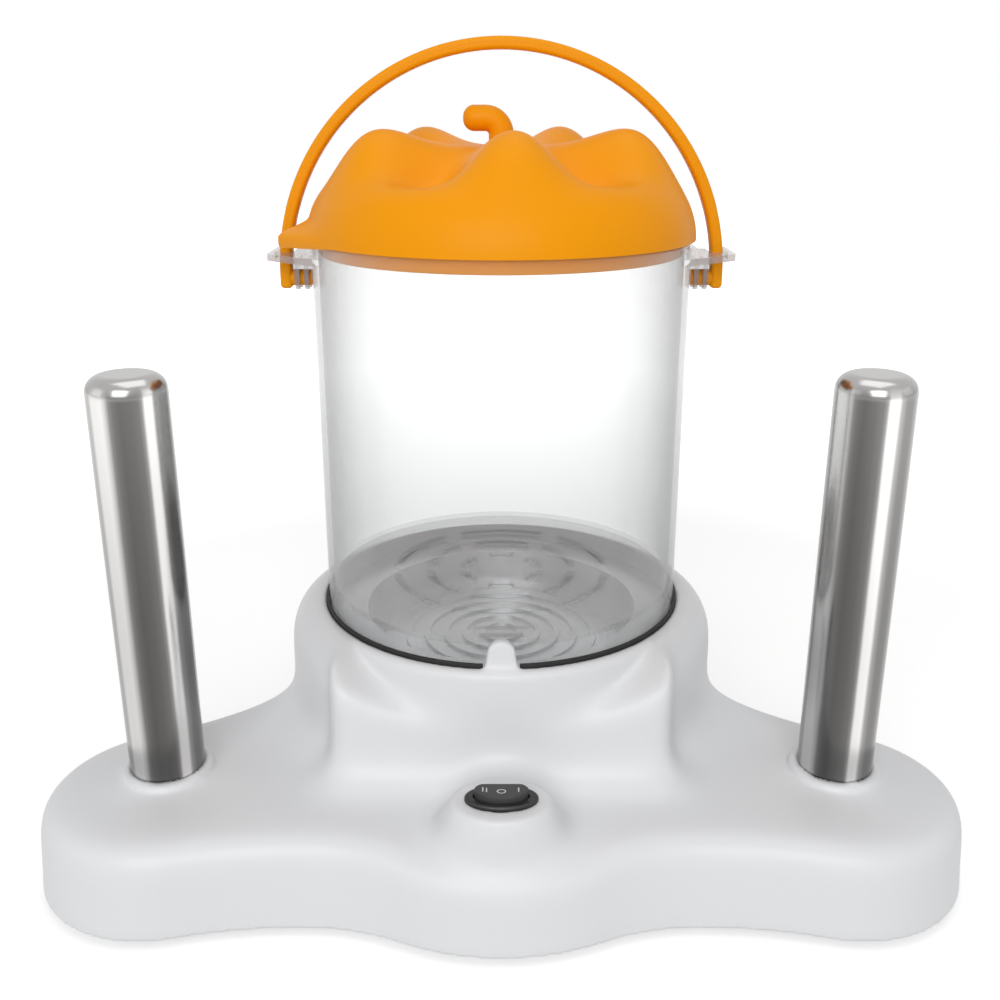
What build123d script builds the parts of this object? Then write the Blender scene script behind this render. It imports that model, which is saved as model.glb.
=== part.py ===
"""Electric hot dog maker: steaming jar on a heated base with two bun-warming rods, in millimetres.

X runs to the right, Y to the back and Z up. The origin is on the floor, at the middle of the
base's length and depth.
"""

from build123d import *
from math import atan2, cos, degrees, hypot, radians, sin, sqrt, tan
import os

# Base housing: plan outline, measured forward from the axis of the drum
DRUM_RADIUS = 89.0
FRONT_FORWARD = 129.5
FRONT_LOBE_RADIUS = 85.0
WAIST_X = 71.0
WAIST_BEHIND_FRONT = 15.7
WING_X = 129.0
WING_FORWARD = 74.2
WING_RADIUS = 47.0
REAR_HOLLOW_RADIUS = 120.0
REAR_STEP = 1.0

# Base housing: heights, wall and roundings
WALL = 2.6
FOOT_HEIGHT = 3.0
WING_TOP = 38.0
WING_DRAFT = 4.0
WING_ROUND = 9.0
DIP_DEPTH = 8.0
DIP_RADIUS = 200.0
DIP_ROUND = 5.0
DRUM_TOP = 86.4
SHOULDER_DROP = 14.0
LIP_RADIUS = 79.0
LIP_ROUND = 3.0
PANEL_FORWARD = 77.5
PANEL_HALF_WIDTH = 65.0
PANEL_SMILE_LOW = 62.0
PANEL_SMILE_RISE = 18.0
PANEL_SMILE_SLOPE = 20.0
PANEL_CORNER_ROUND = 7.0
PANEL_ROOT_ROUND = 6.0
DRUM_FOOT_ROUND = 16.0

# Well in the drum, with its locating tab
BORE_RADIUS = 74.2
LEDGE_DEPTH = 8.4
LEDGE_HOLE_RADIUS = 60.0
TAB_WIDTH = 13.0
TAB_HEIGHT = 11.0
TAB_THICKNESS = 4.6
TAB_PROUD = 1.2
TAB_TAPER = 1.2

# Switch boss and rocker switch
BOSS_FROM_PANEL = 29.8
BOSS_TOP = 52.5
BOSS_TOP_X = 19.5
BOSS_TOP_Y = 15.0
BOSS_ROUND = 3.0
BOSS_FOOT_ROUND = 8.0
BOSS_FOOT_FLARE = (14.5, 7.5)
BOSS_WAIST_FLARE = (4.5, 3.0)
BOSS_WAIST_BACK = 3.5
BEZEL_X = 13.0
BEZEL_Y = 7.3
BEZEL_HEIGHT = 1.5
BEZEL_ROUND = 0.8
SWITCH_WALL = 1.15
SWITCH_DEPTH = 20.0
ROCKER_X = 9.4
ROCKER_Y = 4.6
ROCKER_GAP_X = 0.6
ROCKER_GAP_Y = 0.35
ROCKER_PROUD = 2.8
ROCKER_DISH_DEPTH = 1.0
ROCKER_BELOW = 1.5
ROCKER_AXIS_DROP = 0.5
ROCKER_DISH_RADIUS = 26.0
ROCKER_PIN_RADIUS = 1.2
ROCKER_PIN_LENGTH = 0.85
ROCKER_SWING = 9.0
BLADE = (0.8, 4.8, 8.0)
BLADE_ROWS = (-2.6, 2.6)
BLADE_COLUMNS = (-7.0, 0.0, 7.0)

# Bun-warming rods
ROD_FORWARD = 66.2
ROD_RADIUS = 14.0
ROD_WALL = 1.2
ROD_TOP = 195.0
ROD_BOTTOM = 20.0
ROD_TIP_ROUND = 6.0
ROD_NECK_STEP = 0.3
ROD_NECK_ABOVE = 0.4
ROD_FLANGE_RADIUS = 18.5
ROD_SEAL_HEIGHT = 1.2
COLLAR_RADIUS = 17.5
COLLAR_HEIGHT = 3.6
COLLAR_ROUND = 1.6
ROD_HOLE_GAP = 0.3
CLAMP_PLATE_RADIUS = 27.0
CLAMP_PLATE_THICKNESS = 1.5
CLAMP_SCREW_RING = 23.5
ROD_HEATER_RADIUS = 6.0
ROD_HEATER_TOP = 160.0
ROD_HEATER_TAIL = 2.0
ROD_HEATER_CHAMFER = 1.0
ROD_HEATER_FOOT = 4.0

# Heating pan and what is fixed below it
SEAL_THICKNESS = 1.5
SEAL_LIP = 1.0
SEAL_LIP_RISE = 1.2
PAN_SHEET = 0.8
PAN_RADIUS = 57.0
PAN_FLANGE_RADIUS = 72.4
PAN_DEPTH = 15.3
PAN_RIDGES = 6
PAN_RIDGE_PITCH = 8.0
PAN_RIDGE_WIDTH = 2.4
PAN_RIDGE_HEIGHT = 1.2
STUD_RING = 66.0
STUD_RADIUS = 2.0
STUD_LENGTH = 12.5
RETAINER_THICKNESS = 1.6
RETAINER_RADIUS = 71.5
NUT_WIDTH = 7.0
NUT_HEIGHT = 3.2
HEATER_DISC_RADIUS = 50.0
HEATER_DISC_THICKNESS = 7.0
ELEMENT_RING = 38.0
ELEMENT_RADIUS = 3.25
ELEMENT_TURN = 320.0
ELEMENT_TAIL = 12.0
ELEMENT_PIN_RADIUS = 1.5
ELEMENT_PIN_LENGTH = 7.0
ELEMENT_CLAMP_INNER = 24.0
ELEMENT_CLAMP_OUTER = 44.0
ELEMENT_CLAMP_THICKNESS = 1.2
ELEMENT_SCREW_RING = 30.8
THERMOSTAT_RADIUS = 8.0
THERMOSTAT_HEIGHT = 6.0
THERMOSTAT_EAR = 1.0
FUSE_RADIUS = 2.0
FUSE_LENGTH = 12.0
FUSE_AWAY = 17.5
CLIP_SHEET = 0.8
FUSE_SCREW_AWAY = 1.0

# Bottom cover, feet and mains entry
COVER_THICKNESS = 2.4
COVER_GAP = 0.3
FOOT_RADIUS = 9.0
FOOT_STEM_RADIUS = 2.9
FOOT_STEM_END = 1.0
FOOT_CHAMFER = 0.6
FOOT_SPOTS = ((142.0, 72.0), (40.0, -48.0))
POST_RADIUS = 4.0
POST_SPOTS = ((160.0, 70.0), (112.0, 34.0), (42.0, 103.0), (52.0, -62.5))
GLAND_PROUD = 2.5
GLAND_FLANGE_RADIUS = 8.0
GLAND_NECK_RADIUS = 6.0
GLAND_BORE_RADIUS = 3.6
GLAND_HEIGHT = 16.0
GLAND_INNER_FLANGE = 2.0
CORD_CLAMP = (26.0, 9.0, 3.0)
CORD_CLAMP_BRIDGE = 2.0
CORD_CLAMP_AXIS = 2.0
CORD_CLAMP_FROM_WALL = 14.0
TERMINAL_BLOCK = (42.0, 18.0, 12.0)
TERMINAL_WAYS = 5
TERMINAL_BACK = 36.0
TERMINAL_LUG = 3.0
TERMINAL_SCREW_DEPTH = 5.0
TERMINAL_SCREW_SUNK = 2.0
TERMINAL_TUNNEL = 4.0
LEAD_RADIUS = 1.1
LEAD_SPACING = 4.0
LEAD_BEND = 4.0

# Screws
SCREW_RADIUS = 1.5
SCREW_HEAD_RADIUS = 3.2
SCREW_HEAD_HEIGHT = 1.8
SCREW_HEAD_ROUND = 0.8
SCREW_SLOT = (0.9, 3.4, 0.8)
SCREW_ROOM = 0.6
SCREW_END_GAP = 1.0
SHORT_END_GAP = 0.5
SCREW_BITE = 10.0
SHORT_BITE = 4.5
THREAD_FIT = 0.05
HOLE_GAP = 0.3

# Clear container
CONTAINER_RADIUS = 72.8
CONTAINER_WALL = 2.4
CONTAINER_RIM = 233.8
CONTAINER_FLOOR_TOP = 95.6
CONTAINER_FLOOR = 2.2
SEAT_GAP = 0.3
NOTCH_GAP = 1.6
NOTCH_RIB = 2.0
FLOOR_SLOT_RINGS = (16.0, 30.0, 44.0)
FLOOR_SLOT_WIDTH = 4.0
FLOOR_SPOKES = 3
FLOOR_SPOKE_WIDTH = 8.0
EAR_THICKNESS = 2.5
EAR_BELOW_RIM = 5.1
EAR_ROOT = 32.0
EAR_TIP = 12.5
EAR_REACH = 88.8
EAR_TIP_ROUND = 3.0
CLIP_WALL = 1.7
CLIP_WIDTH = 1.9
CLIP_INNER_GAP = 0.5
CLIP_OUTER_GAP = 1.4
CLIP_MOUTH = 4.6

# Carrying bail
BAIL_INNER = 81.4
BAIL_THICKNESS = 4.6
BAIL_WIDTH = 7.0
BAIL_ROUND = 1.6
PIVOT_BELOW_EAR = 7.9
ARCH_ABOVE_PIVOT = 1.4
LEG_BELOW_ARCH = 5.4
PIVOT_PIN_RADIUS = 3.1
PIVOT_PIN_END = 74.0
PIVOT_FIT = 0.05
BAIL_FORWARD_LIMIT = 20.0
EAR_SLOT_GAP = 0.5
ARM_TAPER = 4.1
ARM_TAPER_BACK = 6.0

# Lid
LID_GAP = 0.3
LID_LIFT = 6.0
LID_RIM_RADIUS = 74.3
LID_WALL = 2.4
LID_RISE = 33.4
LID_FULLNESS = 3.6
LID_LIP_DEPTH = 5.5
LID_LIP_GAP = 0.5
LID_LIP_ROOT = 2.4
LOBES = 5
LOBE_TURN = 5.0
LOBE_SWELL = 10.0
LOBE_INNER = 3.6
LOBE_OUTER = 3.3
LID_TAB_REACH = 83.5
LID_TAB_TIP = 4.0
LID_TAB_START = -142.0
LID_TAB_DROP = 2.4
LID_TAB_THICKNESS = 3.3
LID_TAB_RISE = 2.2
STEM_RADIUS = 4.7
STEM_RISE = 3.8
STEM_BEND = 6.0
STEM_REACH = 8.3
STEM_TIP_ROUND = 4.2

# How the lid's surface is drawn: turn of its flat middle, rings below it, and points on a ring
DOME_FLAT = 5.0
DOME_BANDS = 10
DOME_POINTS = 60
DOME_STEP = 0.01

# Places worked out from the sizes above
DRUM_Y = (FRONT_FORWARD - DRUM_RADIUS - GLAND_PROUD) / 2
FRONT_Y = DRUM_Y - FRONT_FORWARD
WAIST_Y = FRONT_Y + WAIST_BEHIND_FRONT
WING_Y = DRUM_Y - WING_FORWARD
ROD_Y = DRUM_Y - ROD_FORWARD
PANEL_Y = DRUM_Y - PANEL_FORWARD
BOSS_Y = PANEL_Y - BOSS_FROM_PANEL
DRUM_AXIS = (0.0, DRUM_Y)
SHOULDER_Z = DRUM_TOP - SHOULDER_DROP
LEDGE_TOP = DRUM_TOP - LEDGE_DEPTH
PAN_FLANGE_TOP = LEDGE_TOP + SEAL_THICKNESS + PAN_SHEET
PAN_FLOOR = PAN_FLANGE_TOP - PAN_DEPTH
PAN_UNDERSIDE = PAN_FLOOR - PAN_SHEET
DISC_UNDERSIDE = PAN_UNDERSIDE - HEATER_DISC_THICKNESS
COVER_TOP = FOOT_HEIGHT + COVER_THICKNESS
CONTAINER_BOTTOM = PAN_FLANGE_TOP + SEAT_GAP
CONTAINER_INNER = CONTAINER_RADIUS - CONTAINER_WALL
TAB_TOP = DRUM_TOP + TAB_HEIGHT
EAR_TOP = CONTAINER_RIM - EAR_BELOW_RIM
EAR_BOTTOM = EAR_TOP - EAR_THICKNESS
PIVOT_Z = EAR_BOTTOM - PIVOT_BELOW_EAR
ARCH_Z = PIVOT_Z + ARCH_ABOVE_PIVOT
BAIL_OUTER = BAIL_INNER + BAIL_THICKNESS
LID_RIM_Z = CONTAINER_RIM + LID_GAP
LID_CENTRE_Z = LID_RIM_Z + LID_RISE
ROCKER_AXIS_Z = BOSS_TOP - ROCKER_AXIS_DROP
SWITCH_BOTTOM = BOSS_TOP - SWITCH_DEPTH
ELEMENT_CLAMP_TOP = DISC_UNDERSIDE - ELEMENT_RADIUS - 0.1

# Small running clearance between pieces that are laid against each other
TOUCH_GAP = 0.1
# How far a cutting shape reaches past what it cuts
PAST = 5.0


def disc(radius, low, high, at=DRUM_AXIS):
    """Upright cylinder between two heights."""
    return Pos(at[0], at[1], (low + high) / 2) * Cylinder(radius, high - low)


def tube(outer, inner, low, high, at=DRUM_AXIS):
    """Upright ring with a square section."""
    return disc(outer, low, high, at) - disc(inner, low - PAST, high + PAST, at)


def block(size_x, size_y, low, high, at=(0.0, 0.0)):
    """Upright box between two heights."""
    return Pos(at[0], at[1], (low + high) / 2) * Box(size_x, size_y, high - low)


def oval(half_x, half_y, low, high, at):
    """Upright elliptical prism between two heights."""
    return extrude(Pos(at[0], at[1], low) * Ellipse(half_x, half_y), amount=high - low)


def ring_of(count, radius, centre=DRUM_AXIS, start=0.0):
    """Points spaced evenly round a circle."""
    turns = [radians(start + 360 * i / count) for i in range(count)]
    return [(centre[0] + radius * cos(t), centre[1] + radius * sin(t)) for t in turns]


def both_sides(spots):
    """Each spot, given as X and distance forward of the drum's axis, on the left and the right."""
    return [(side * x, DRUM_Y - forward) for x, forward in spots for side in (-1, 1)]


def turned(profile):
    """Solid of revolution about the drum's axis, from a profile in radius and height."""
    placed = Pos(0, DRUM_Y, 0) * Rot(X=90) * profile
    return revolve(placed, Axis((0, DRUM_Y, 0), (0, 0, 1)))


def group(solids):
    """Like pieces that share one node."""
    return Compound(children=[solid for item in solids for solid in item.solids()])


def direction(start, end):
    """Angle in degrees of the line from one point to another."""
    return degrees(atan2(end[1] - start[1], end[0] - start[0]))


def touching_centre(first, first_reach, second, second_reach):
    """The point at given distances from two others, on the outer side."""
    apart = hypot(second[0] - first[0], second[1] - first[1])
    along = (apart**2 + first_reach**2 - second_reach**2) / (2 * apart)
    aside = sqrt(first_reach**2 - along**2)
    ux, uy = (second[0] - first[0]) / apart, (second[1] - first[1]) / apart
    return (first[0] + ux * along + uy * aside, first[1] + uy * along - ux * aside)


def base_plan(inset):
    """Three-lobed outline of the base: arcs about fixed centres, so an inset only changes radii."""
    rear_radius = DRUM_RADIUS - REAR_STEP
    lobe = (0.0, FRONT_Y + FRONT_LOBE_RADIUS)
    wing = (WING_X, WING_Y)
    front_step = WAIST_Y - FRONT_Y
    front_hollow = (WAIST_X**2 + front_step**2) / (2 * front_step) - FRONT_LOBE_RADIUS
    wing_step = WAIST_Y - (WING_Y - WING_RADIUS)
    wing_run = WING_X - WAIST_X
    wing_hollow = (wing_run**2 + wing_step**2) / (2 * wing_step) - WING_RADIUS
    near_centre = (WAIST_X, WAIST_Y - front_hollow)
    far_centre = (WAIST_X, WAIST_Y - wing_hollow)
    rear_centre = touching_centre(
        wing, WING_RADIUS + REAR_HOLLOW_RADIUS, DRUM_AXIS, rear_radius + REAR_HOLLOW_RADIUS
    )
    lobe_end = direction(lobe, near_centre)
    waist_end = direction(far_centre, wing)
    wing_end = direction(wing, rear_centre)
    hollow_end = direction(rear_centre, DRUM_AXIS)
    drum_start = direction(DRUM_AXIS, rear_centre)
    arcs = [
        CenterArc(lobe, FRONT_LOBE_RADIUS - inset, -90, lobe_end + 90),
        CenterArc(near_centre, front_hollow + inset, lobe_end + 180, -90 - lobe_end),
        CenterArc(far_centre, wing_hollow + inset, 90, waist_end - 90),
        CenterArc(wing, WING_RADIUS - inset, waist_end - 180, wing_end - waist_end + 180),
        CenterArc(
            rear_centre,
            REAR_HOLLOW_RADIUS + inset,
            wing_end + 180,
            (hollow_end - wing_end - 180) % -360,
        ),
        CenterArc(DRUM_AXIS, rear_radius - inset, drum_start, 90 - drum_start),
    ]
    right = [arc.edge() for arc in arcs]
    left = [mirror(edge, Plane.YZ).edge() for edge in right]
    return make_face(right + left)


def dip_cutter(inset):
    """Large tilted cylinder that lowers the top of the front lobe towards its edge."""
    fall = degrees(atan2(DIP_DEPTH, PANEL_Y - FRONT_Y))
    roller = Rot(X=90) * Cylinder(DIP_RADIUS + inset, 4 * FRONT_FORWARD)
    return Pos(0, PANEL_Y, WING_TOP) * Rot(X=fall) * Pos(0, 0, DIP_RADIUS) * roller


def platform(inset):
    """The low body of the base with its drafted side, rounded top edge and dipped front lobe."""
    low = FOOT_HEIGHT - (PAST if inset else 0.0)
    high = WING_TOP - inset
    lean = tan(radians(WING_DRAFT))
    sections = [
        Pos(0, 0, z) * base_plan(inset + (z - FOOT_HEIGHT) * lean) for z in (low, high)
    ]
    body = loft(sections, ruled=True)
    top_edges = body.faces().sort_by(Axis.Z)[-1].edges()
    body = fillet(top_edges, WING_ROUND - inset)
    body -= dip_cutter(inset)
    front = [
        edge
        for edge in body.edges()
        if edge.center().Y < WAIST_Y
        and edge.center().Z > WING_TOP - inset - WING_ROUND
        and edge.bounding_box().size.X > FRONT_LOBE_RADIUS / 4
    ]
    return fillet(front, DIP_ROUND - inset)


def drum(inset):
    """Round drum at the back with its rolled shoulder."""
    radius, top = DRUM_RADIUS - inset, DRUM_TOP - inset
    low = FOOT_HEIGHT - (PAST if inset else 0.0)
    flat_radius = LIP_RADIUS - LIP_ROUND
    shoulder = EllipticalCenterArc(
        (flat_radius, SHOULDER_Z), radius - flat_radius, top - SHOULDER_Z, 0, arc_size=90
    )
    sides = [
        Line((0, low), (radius, low)),
        Line((radius, low), (radius, SHOULDER_Z)),
        shoulder,
        Line((flat_radius, top), (0, top)),
        Line((0, top), (0, low)),
    ]
    return turned(make_face([side.edge() for side in sides]))


def smile_cutter(inset):
    """Tilted cylinder that dishes the top of the front block below the drum's lip."""
    radius = (PANEL_HALF_WIDTH**2 + PANEL_SMILE_RISE**2) / (2 * PANEL_SMILE_RISE)
    roller = Rot(X=90) * Cylinder(radius + inset, 4 * DRUM_RADIUS)
    tilt = Rot(X=PANEL_SMILE_SLOPE)
    return Pos(0, PANEL_Y, PANEL_SMILE_LOW) * tilt * Pos(0, 0, radius) * roller


def front_block(inset):
    """Block with the flat front panel, standing out from the drum."""
    high = SHOULDER_Z + SHOULDER_DROP - inset
    low = FOOT_HEIGHT - (PAST if inset else 0.0)
    front, back = PANEL_Y + inset, DRUM_Y
    body = block(2 * (PANEL_HALF_WIDTH - inset), back - front, low, high, (0, (front + back) / 2))
    corners = body.edges().filter_by(Axis.Z).sort_by(Axis.Y)[:2]
    return fillet(corners, PANEL_CORNER_ROUND - inset)


def drum_with_panel(inset):
    """Drum and front block, cut flat at the panel and dished below the lip band."""
    cutter = smile_cutter(inset)
    low = FOOT_HEIGHT - (PAST if inset else 0.0)
    in_front = block(
        2 * DRUM_RADIUS, DRUM_RADIUS, low - PAST, DRUM_TOP + PAST, (0, PANEL_Y + inset - DRUM_RADIUS / 2)
    )
    body = drum(inset) + front_block(inset) - in_front - cutter
    lip = disc(LIP_RADIUS - inset, SHOULDER_Z - 2 * SHOULDER_DROP, DRUM_TOP - inset)
    lip = fillet(lip.edges().sort_by(Axis.Z)[-1], LIP_ROUND)
    return body + (lip & cutter)


def from_drum_axis(point):
    """Distance of a point from the drum's axis."""
    return hypot(point.X, point.Y - DRUM_Y)


def switch_boss(inset):
    """Trumpet-like boss in front of the panel that carries the rocker switch."""
    foot_y, foot_z = (BOSS_Y + PANEL_Y) / 2 + BOSS_TOP_Y / 3, WING_TOP - DIP_DEPTH - PAST
    waist_y, waist_z = BOSS_Y + BOSS_WAIST_BACK, (WING_TOP + BOSS_TOP) / 2 - PAST
    sections = [
        (BOSS_TOP_X + BOSS_FOOT_FLARE[0], BOSS_TOP_Y + BOSS_FOOT_FLARE[1], foot_z, foot_y),
        (BOSS_TOP_X + BOSS_WAIST_FLARE[0], BOSS_TOP_Y + BOSS_WAIST_FLARE[1], waist_z, waist_y),
        (BOSS_TOP_X, BOSS_TOP_Y, BOSS_TOP - inset, BOSS_Y),
    ]
    ovals = [
        Pos(0, y, z) * Ellipse(half_x - inset, half_y - inset) for half_x, half_y, z, y in sections
    ]
    body = loft(ovals)
    return fillet(body.edges().sort_by(Axis.Z)[-1], BOSS_ROUND - inset)


def outside_form():
    """Outside of the housing, with the drum and panel flowing into the platform and each other."""
    upper = drum_with_panel(0.0)
    roots = [
        edge
        for edge in upper.edges().filter_by(GeomType.LINE)
        if abs(from_drum_axis(edge @ 0.5) - DRUM_RADIUS) < TOUCH_GAP
        and abs(abs((edge @ 0.5).X) - PANEL_HALF_WIDTH) < TOUCH_GAP
    ]
    body = platform(0.0) + fillet(roots, PANEL_ROOT_ROUND)
    foot = [
        edge
        for edge in body.edges()
        if abs((edge @ 0.5).Z - WING_TOP) < TOUCH_GAP
        and abs(edge.center().Z - WING_TOP) < TOUCH_GAP
        and edge.length > PANEL_ROOT_ROUND / 2
        and (edge @ 0.5).Y > PANEL_Y - TOUCH_GAP
        and from_drum_axis(edge @ 0.5) < DRUM_RADIUS + 2 * PANEL_CORNER_ROUND
    ]
    body, boss = fillet(foot, DRUM_FOOT_ROUND), switch_boss(0.0)
    whole = body + boss
    seam = [
        edge
        for edge in whole.edges()
        if body.distance_to(edge @ 0.5) < PAST / 1000 and boss.distance_to(edge @ 0.5) < PAST / 1000
    ]
    return fillet(seam, BOSS_FOOT_ROUND)


def hollow_form():
    """Hollow of the housing: the same shapes drawn in by the wall, with plain corners."""
    return platform(WALL) + drum_with_panel(WALL) + switch_boss(WALL)


def rod_spots():
    """Axes of the two rods, left then right."""
    return (("left", (-WING_X, ROD_Y)), ("right", (WING_X, ROD_Y)))


def locating_tab():
    """Upright tongue at the front of the lip that keys the container."""
    half = TAB_WIDTH / 2
    tip = half - TAB_TAPER
    low = PAN_FLANGE_TOP + SEAT_GAP
    front = DRUM_Y - BORE_RADIUS - TAB_PROUD
    face = make_face(
        [
            Line((-half, low), (half, low)).edge(),
            Line((half, low), (tip, TAB_TOP - tip)).edge(),
            CenterArc((0, TAB_TOP - tip), tip, 0, 180).edge(),
            Line((-tip, TAB_TOP - tip), (-half, low)).edge(),
        ]
    )
    return extrude(Pos(0, front, 0) * Rot(X=90) * face, amount=-TAB_THICKNESS)


def screw_posts():
    """Pillars under the housing's roof that take the cover's screws."""
    spots = both_sides(POST_SPOTS)
    pillars = [disc(POST_RADIUS, COVER_TOP, DRUM_TOP, spot) for spot in spots]
    pilots = [
        disc(SCREW_RADIUS + THREAD_FIT, COVER_TOP - PAST, COVER_TOP + SCREW_BITE, spot)
        for spot in spots
    ]
    return pillars, pilots


def rod_sleeves():
    """Collars above the wings, guide sleeves below them and pillars for the clamp plates."""
    seat = ROD_BOTTOM + ROD_WALL + ROD_SEAL_HEIGHT
    solids, holes = [], []
    for _, spot in rod_spots():
        collar = disc(COLLAR_RADIUS, seat, WING_TOP + COLLAR_HEIGHT, spot)
        solids.append(fillet(collar.edges().sort_by(Axis.Z)[-1], COLLAR_ROUND))
        holes.append(disc(ROD_RADIUS + ROD_HOLE_GAP, 0, ROD_TOP, spot))
        for place in ring_of(3, CLAMP_SCREW_RING, spot, 90):
            solids.append(disc(POST_RADIUS, ROD_BOTTOM, WING_TOP - WALL / 2, place))
            holes.append(disc(SCREW_RADIUS + THREAD_FIT, 0, ROD_BOTTOM + SCREW_BITE, place))
    return solids, holes


def base_housing():
    """White moulded shell: three-lobed base, drum with its well, front panel and switch boss."""
    outside = outside_form()
    hollow = hollow_form()
    cup = disc(BORE_RADIUS + WALL, LEDGE_TOP - WALL, DRUM_TOP)
    shell = outside - (hollow - cup)
    pillars, pilots = screw_posts()
    for pillar in pillars:
        shell += pillar & outside
    shell += locating_tab()
    sleeves, rod_holes = rod_sleeves()
    for sleeve in sleeves:
        shell += sleeve
    well = disc(BORE_RADIUS, LEDGE_TOP, DRUM_TOP + PAST) - locating_tab()
    shell -= well
    shell -= disc(LEDGE_HOLE_RADIUS, LEDGE_TOP - 2 * WALL, DRUM_TOP)
    for spot in ring_of(4, STUD_RING, start=45):
        shell -= disc(STUD_RADIUS + HOLE_GAP, LEDGE_TOP - 2 * WALL, LEDGE_TOP + PAST, spot)
    for hole in pilots + rod_holes:
        shell -= hole
    shell -= oval(
        ROCKER_X + ROCKER_GAP_X + SWITCH_WALL + HOLE_GAP,
        ROCKER_Y + ROCKER_GAP_Y + SWITCH_WALL + HOLE_GAP,
        BOSS_TOP - 2 * WALL,
        BOSS_TOP + PAST,
        (0, BOSS_Y),
    )
    return shell - gland_axis_cylinder(GLAND_NECK_RADIUS + TOUCH_GAP, 4 * WALL, 2 * WALL)


def gland_axis_cylinder(radius, inside, outside):
    """Cylinder on the gland's axis, from inside the rear wall to outside it."""
    length = inside + outside
    middle = DRUM_Y + DRUM_RADIUS + (outside - inside) / 2
    return Pos(0, middle, GLAND_HEIGHT) * Rot(X=90) * Cylinder(radius, length)


def cord_gland():
    """Rubber bush in the rear wall where the mains lead enters."""
    drum_outside = disc(DRUM_RADIUS, 0, DRUM_TOP)
    drum_inside = disc(DRUM_RADIUS - WALL, 0, DRUM_TOP)
    flange = gland_axis_cylinder(GLAND_FLANGE_RADIUS, WALL, GLAND_PROUD) - drum_outside
    neck = gland_axis_cylinder(GLAND_NECK_RADIUS, WALL + GLAND_INNER_FLANGE, 0.0)
    inner = gland_axis_cylinder(GLAND_FLANGE_RADIUS, WALL + GLAND_INNER_FLANGE, 0.0) & drum_inside
    bush = flange + neck + inner
    return bush - gland_axis_cylinder(GLAND_BORE_RADIUS, 8 * WALL, 4 * WALL)


def bottom_cover():
    """Flat moulded plate that closes the base from below."""
    lean = tan(radians(WING_DRAFT))
    edge = WALL + COVER_GAP + COVER_THICKNESS * lean
    plan = base_plan(edge) + Pos(*DRUM_AXIS) * Circle(DRUM_RADIUS - WALL - COVER_GAP)
    plate = extrude(Pos(0, 0, FOOT_HEIGHT) * plan, amount=COVER_THICKNESS)
    for spot in both_sides(POST_SPOTS):
        plate -= disc(SCREW_RADIUS + HOLE_GAP, 0, COVER_TOP + PAST, spot)
    for spot in both_sides(FOOT_SPOTS):
        plate -= disc(FOOT_STEM_RADIUS + TOUCH_GAP, 0, COVER_TOP + PAST, spot)
    for spot in cord_clamp_screw_spots() + terminal_fixing_spots():
        plate -= disc(SCREW_RADIUS + THREAD_FIT, 0, COVER_TOP + PAST, spot)
    return plate


def foot(spot):
    """Rubber foot with a stem pushed into the cover."""
    pad = disc(FOOT_RADIUS, 0, FOOT_HEIGHT, spot)
    pad = chamfer(pad.edges().sort_by(Axis.Z)[0], FOOT_CHAMFER)
    return pad + disc(FOOT_STEM_RADIUS, FOOT_HEIGHT, COVER_TOP + FOOT_STEM_END, spot)


def pan_head_screw(spot, seat, bite, up=True):
    """Screw whose head bears on a face at the seat height and whose shank goes up or down."""
    sign = 1 if up else -1
    head_low, head_high = sorted((seat - sign * SCREW_HEAD_HEIGHT, seat))
    shank_low, shank_high = sorted((seat, seat + sign * bite))
    head = disc(SCREW_HEAD_RADIUS, head_low, head_high, spot)
    far = head.edges().sort_by(Axis.Z)[0 if up else -1]
    head = fillet(far, SCREW_HEAD_ROUND)
    wide, long, deep = SCREW_SLOT
    slot_low = head_low if up else head_high - deep
    slot = block(wide, long, slot_low, slot_low + deep, spot)
    cross = slot + Pos(spot[0], spot[1], 0) * Rot(Z=90) * Pos(-spot[0], -spot[1], 0) * slot
    return head + disc(SCREW_RADIUS, shank_low, shank_high, spot) - cross


def cover_screws():
    """Screws that hold the bottom cover to the housing's pillars."""
    bite = COVER_THICKNESS + SCREW_BITE - SCREW_END_GAP
    return group([pan_head_screw(spot, FOOT_HEIGHT, bite) for spot in both_sides(POST_SPOTS)])


def stud_spots():
    """Places of the four studs under the heating pan's flange."""
    return ring_of(4, STUD_RING, start=45)


def plate_seal():
    """Black silicone ring between the ledge and the pan, with a lip round the well."""
    base = tube(BORE_RADIUS - TOUCH_GAP, LEDGE_HOLE_RADIUS, LEDGE_TOP, LEDGE_TOP + SEAL_THICKNESS)
    lip = tube(
        BORE_RADIUS - TOUCH_GAP,
        BORE_RADIUS - TOUCH_GAP - SEAL_LIP,
        LEDGE_TOP,
        DRUM_TOP + SEAL_LIP_RISE,
    )
    gap_width = TAB_WIDTH + 2 * HOLE_GAP
    gap_top = DRUM_TOP + SEAL_LIP_RISE + PAST
    lip -= block(gap_width, BORE_RADIUS, PAN_FLANGE_TOP, gap_top, (0, DRUM_Y - BORE_RADIUS))
    ring = base + lip
    for spot in stud_spots():
        ring -= disc(STUD_RADIUS + HOLE_GAP, LEDGE_TOP - PAST, LEDGE_TOP + PAST, spot)
    return ring


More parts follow.
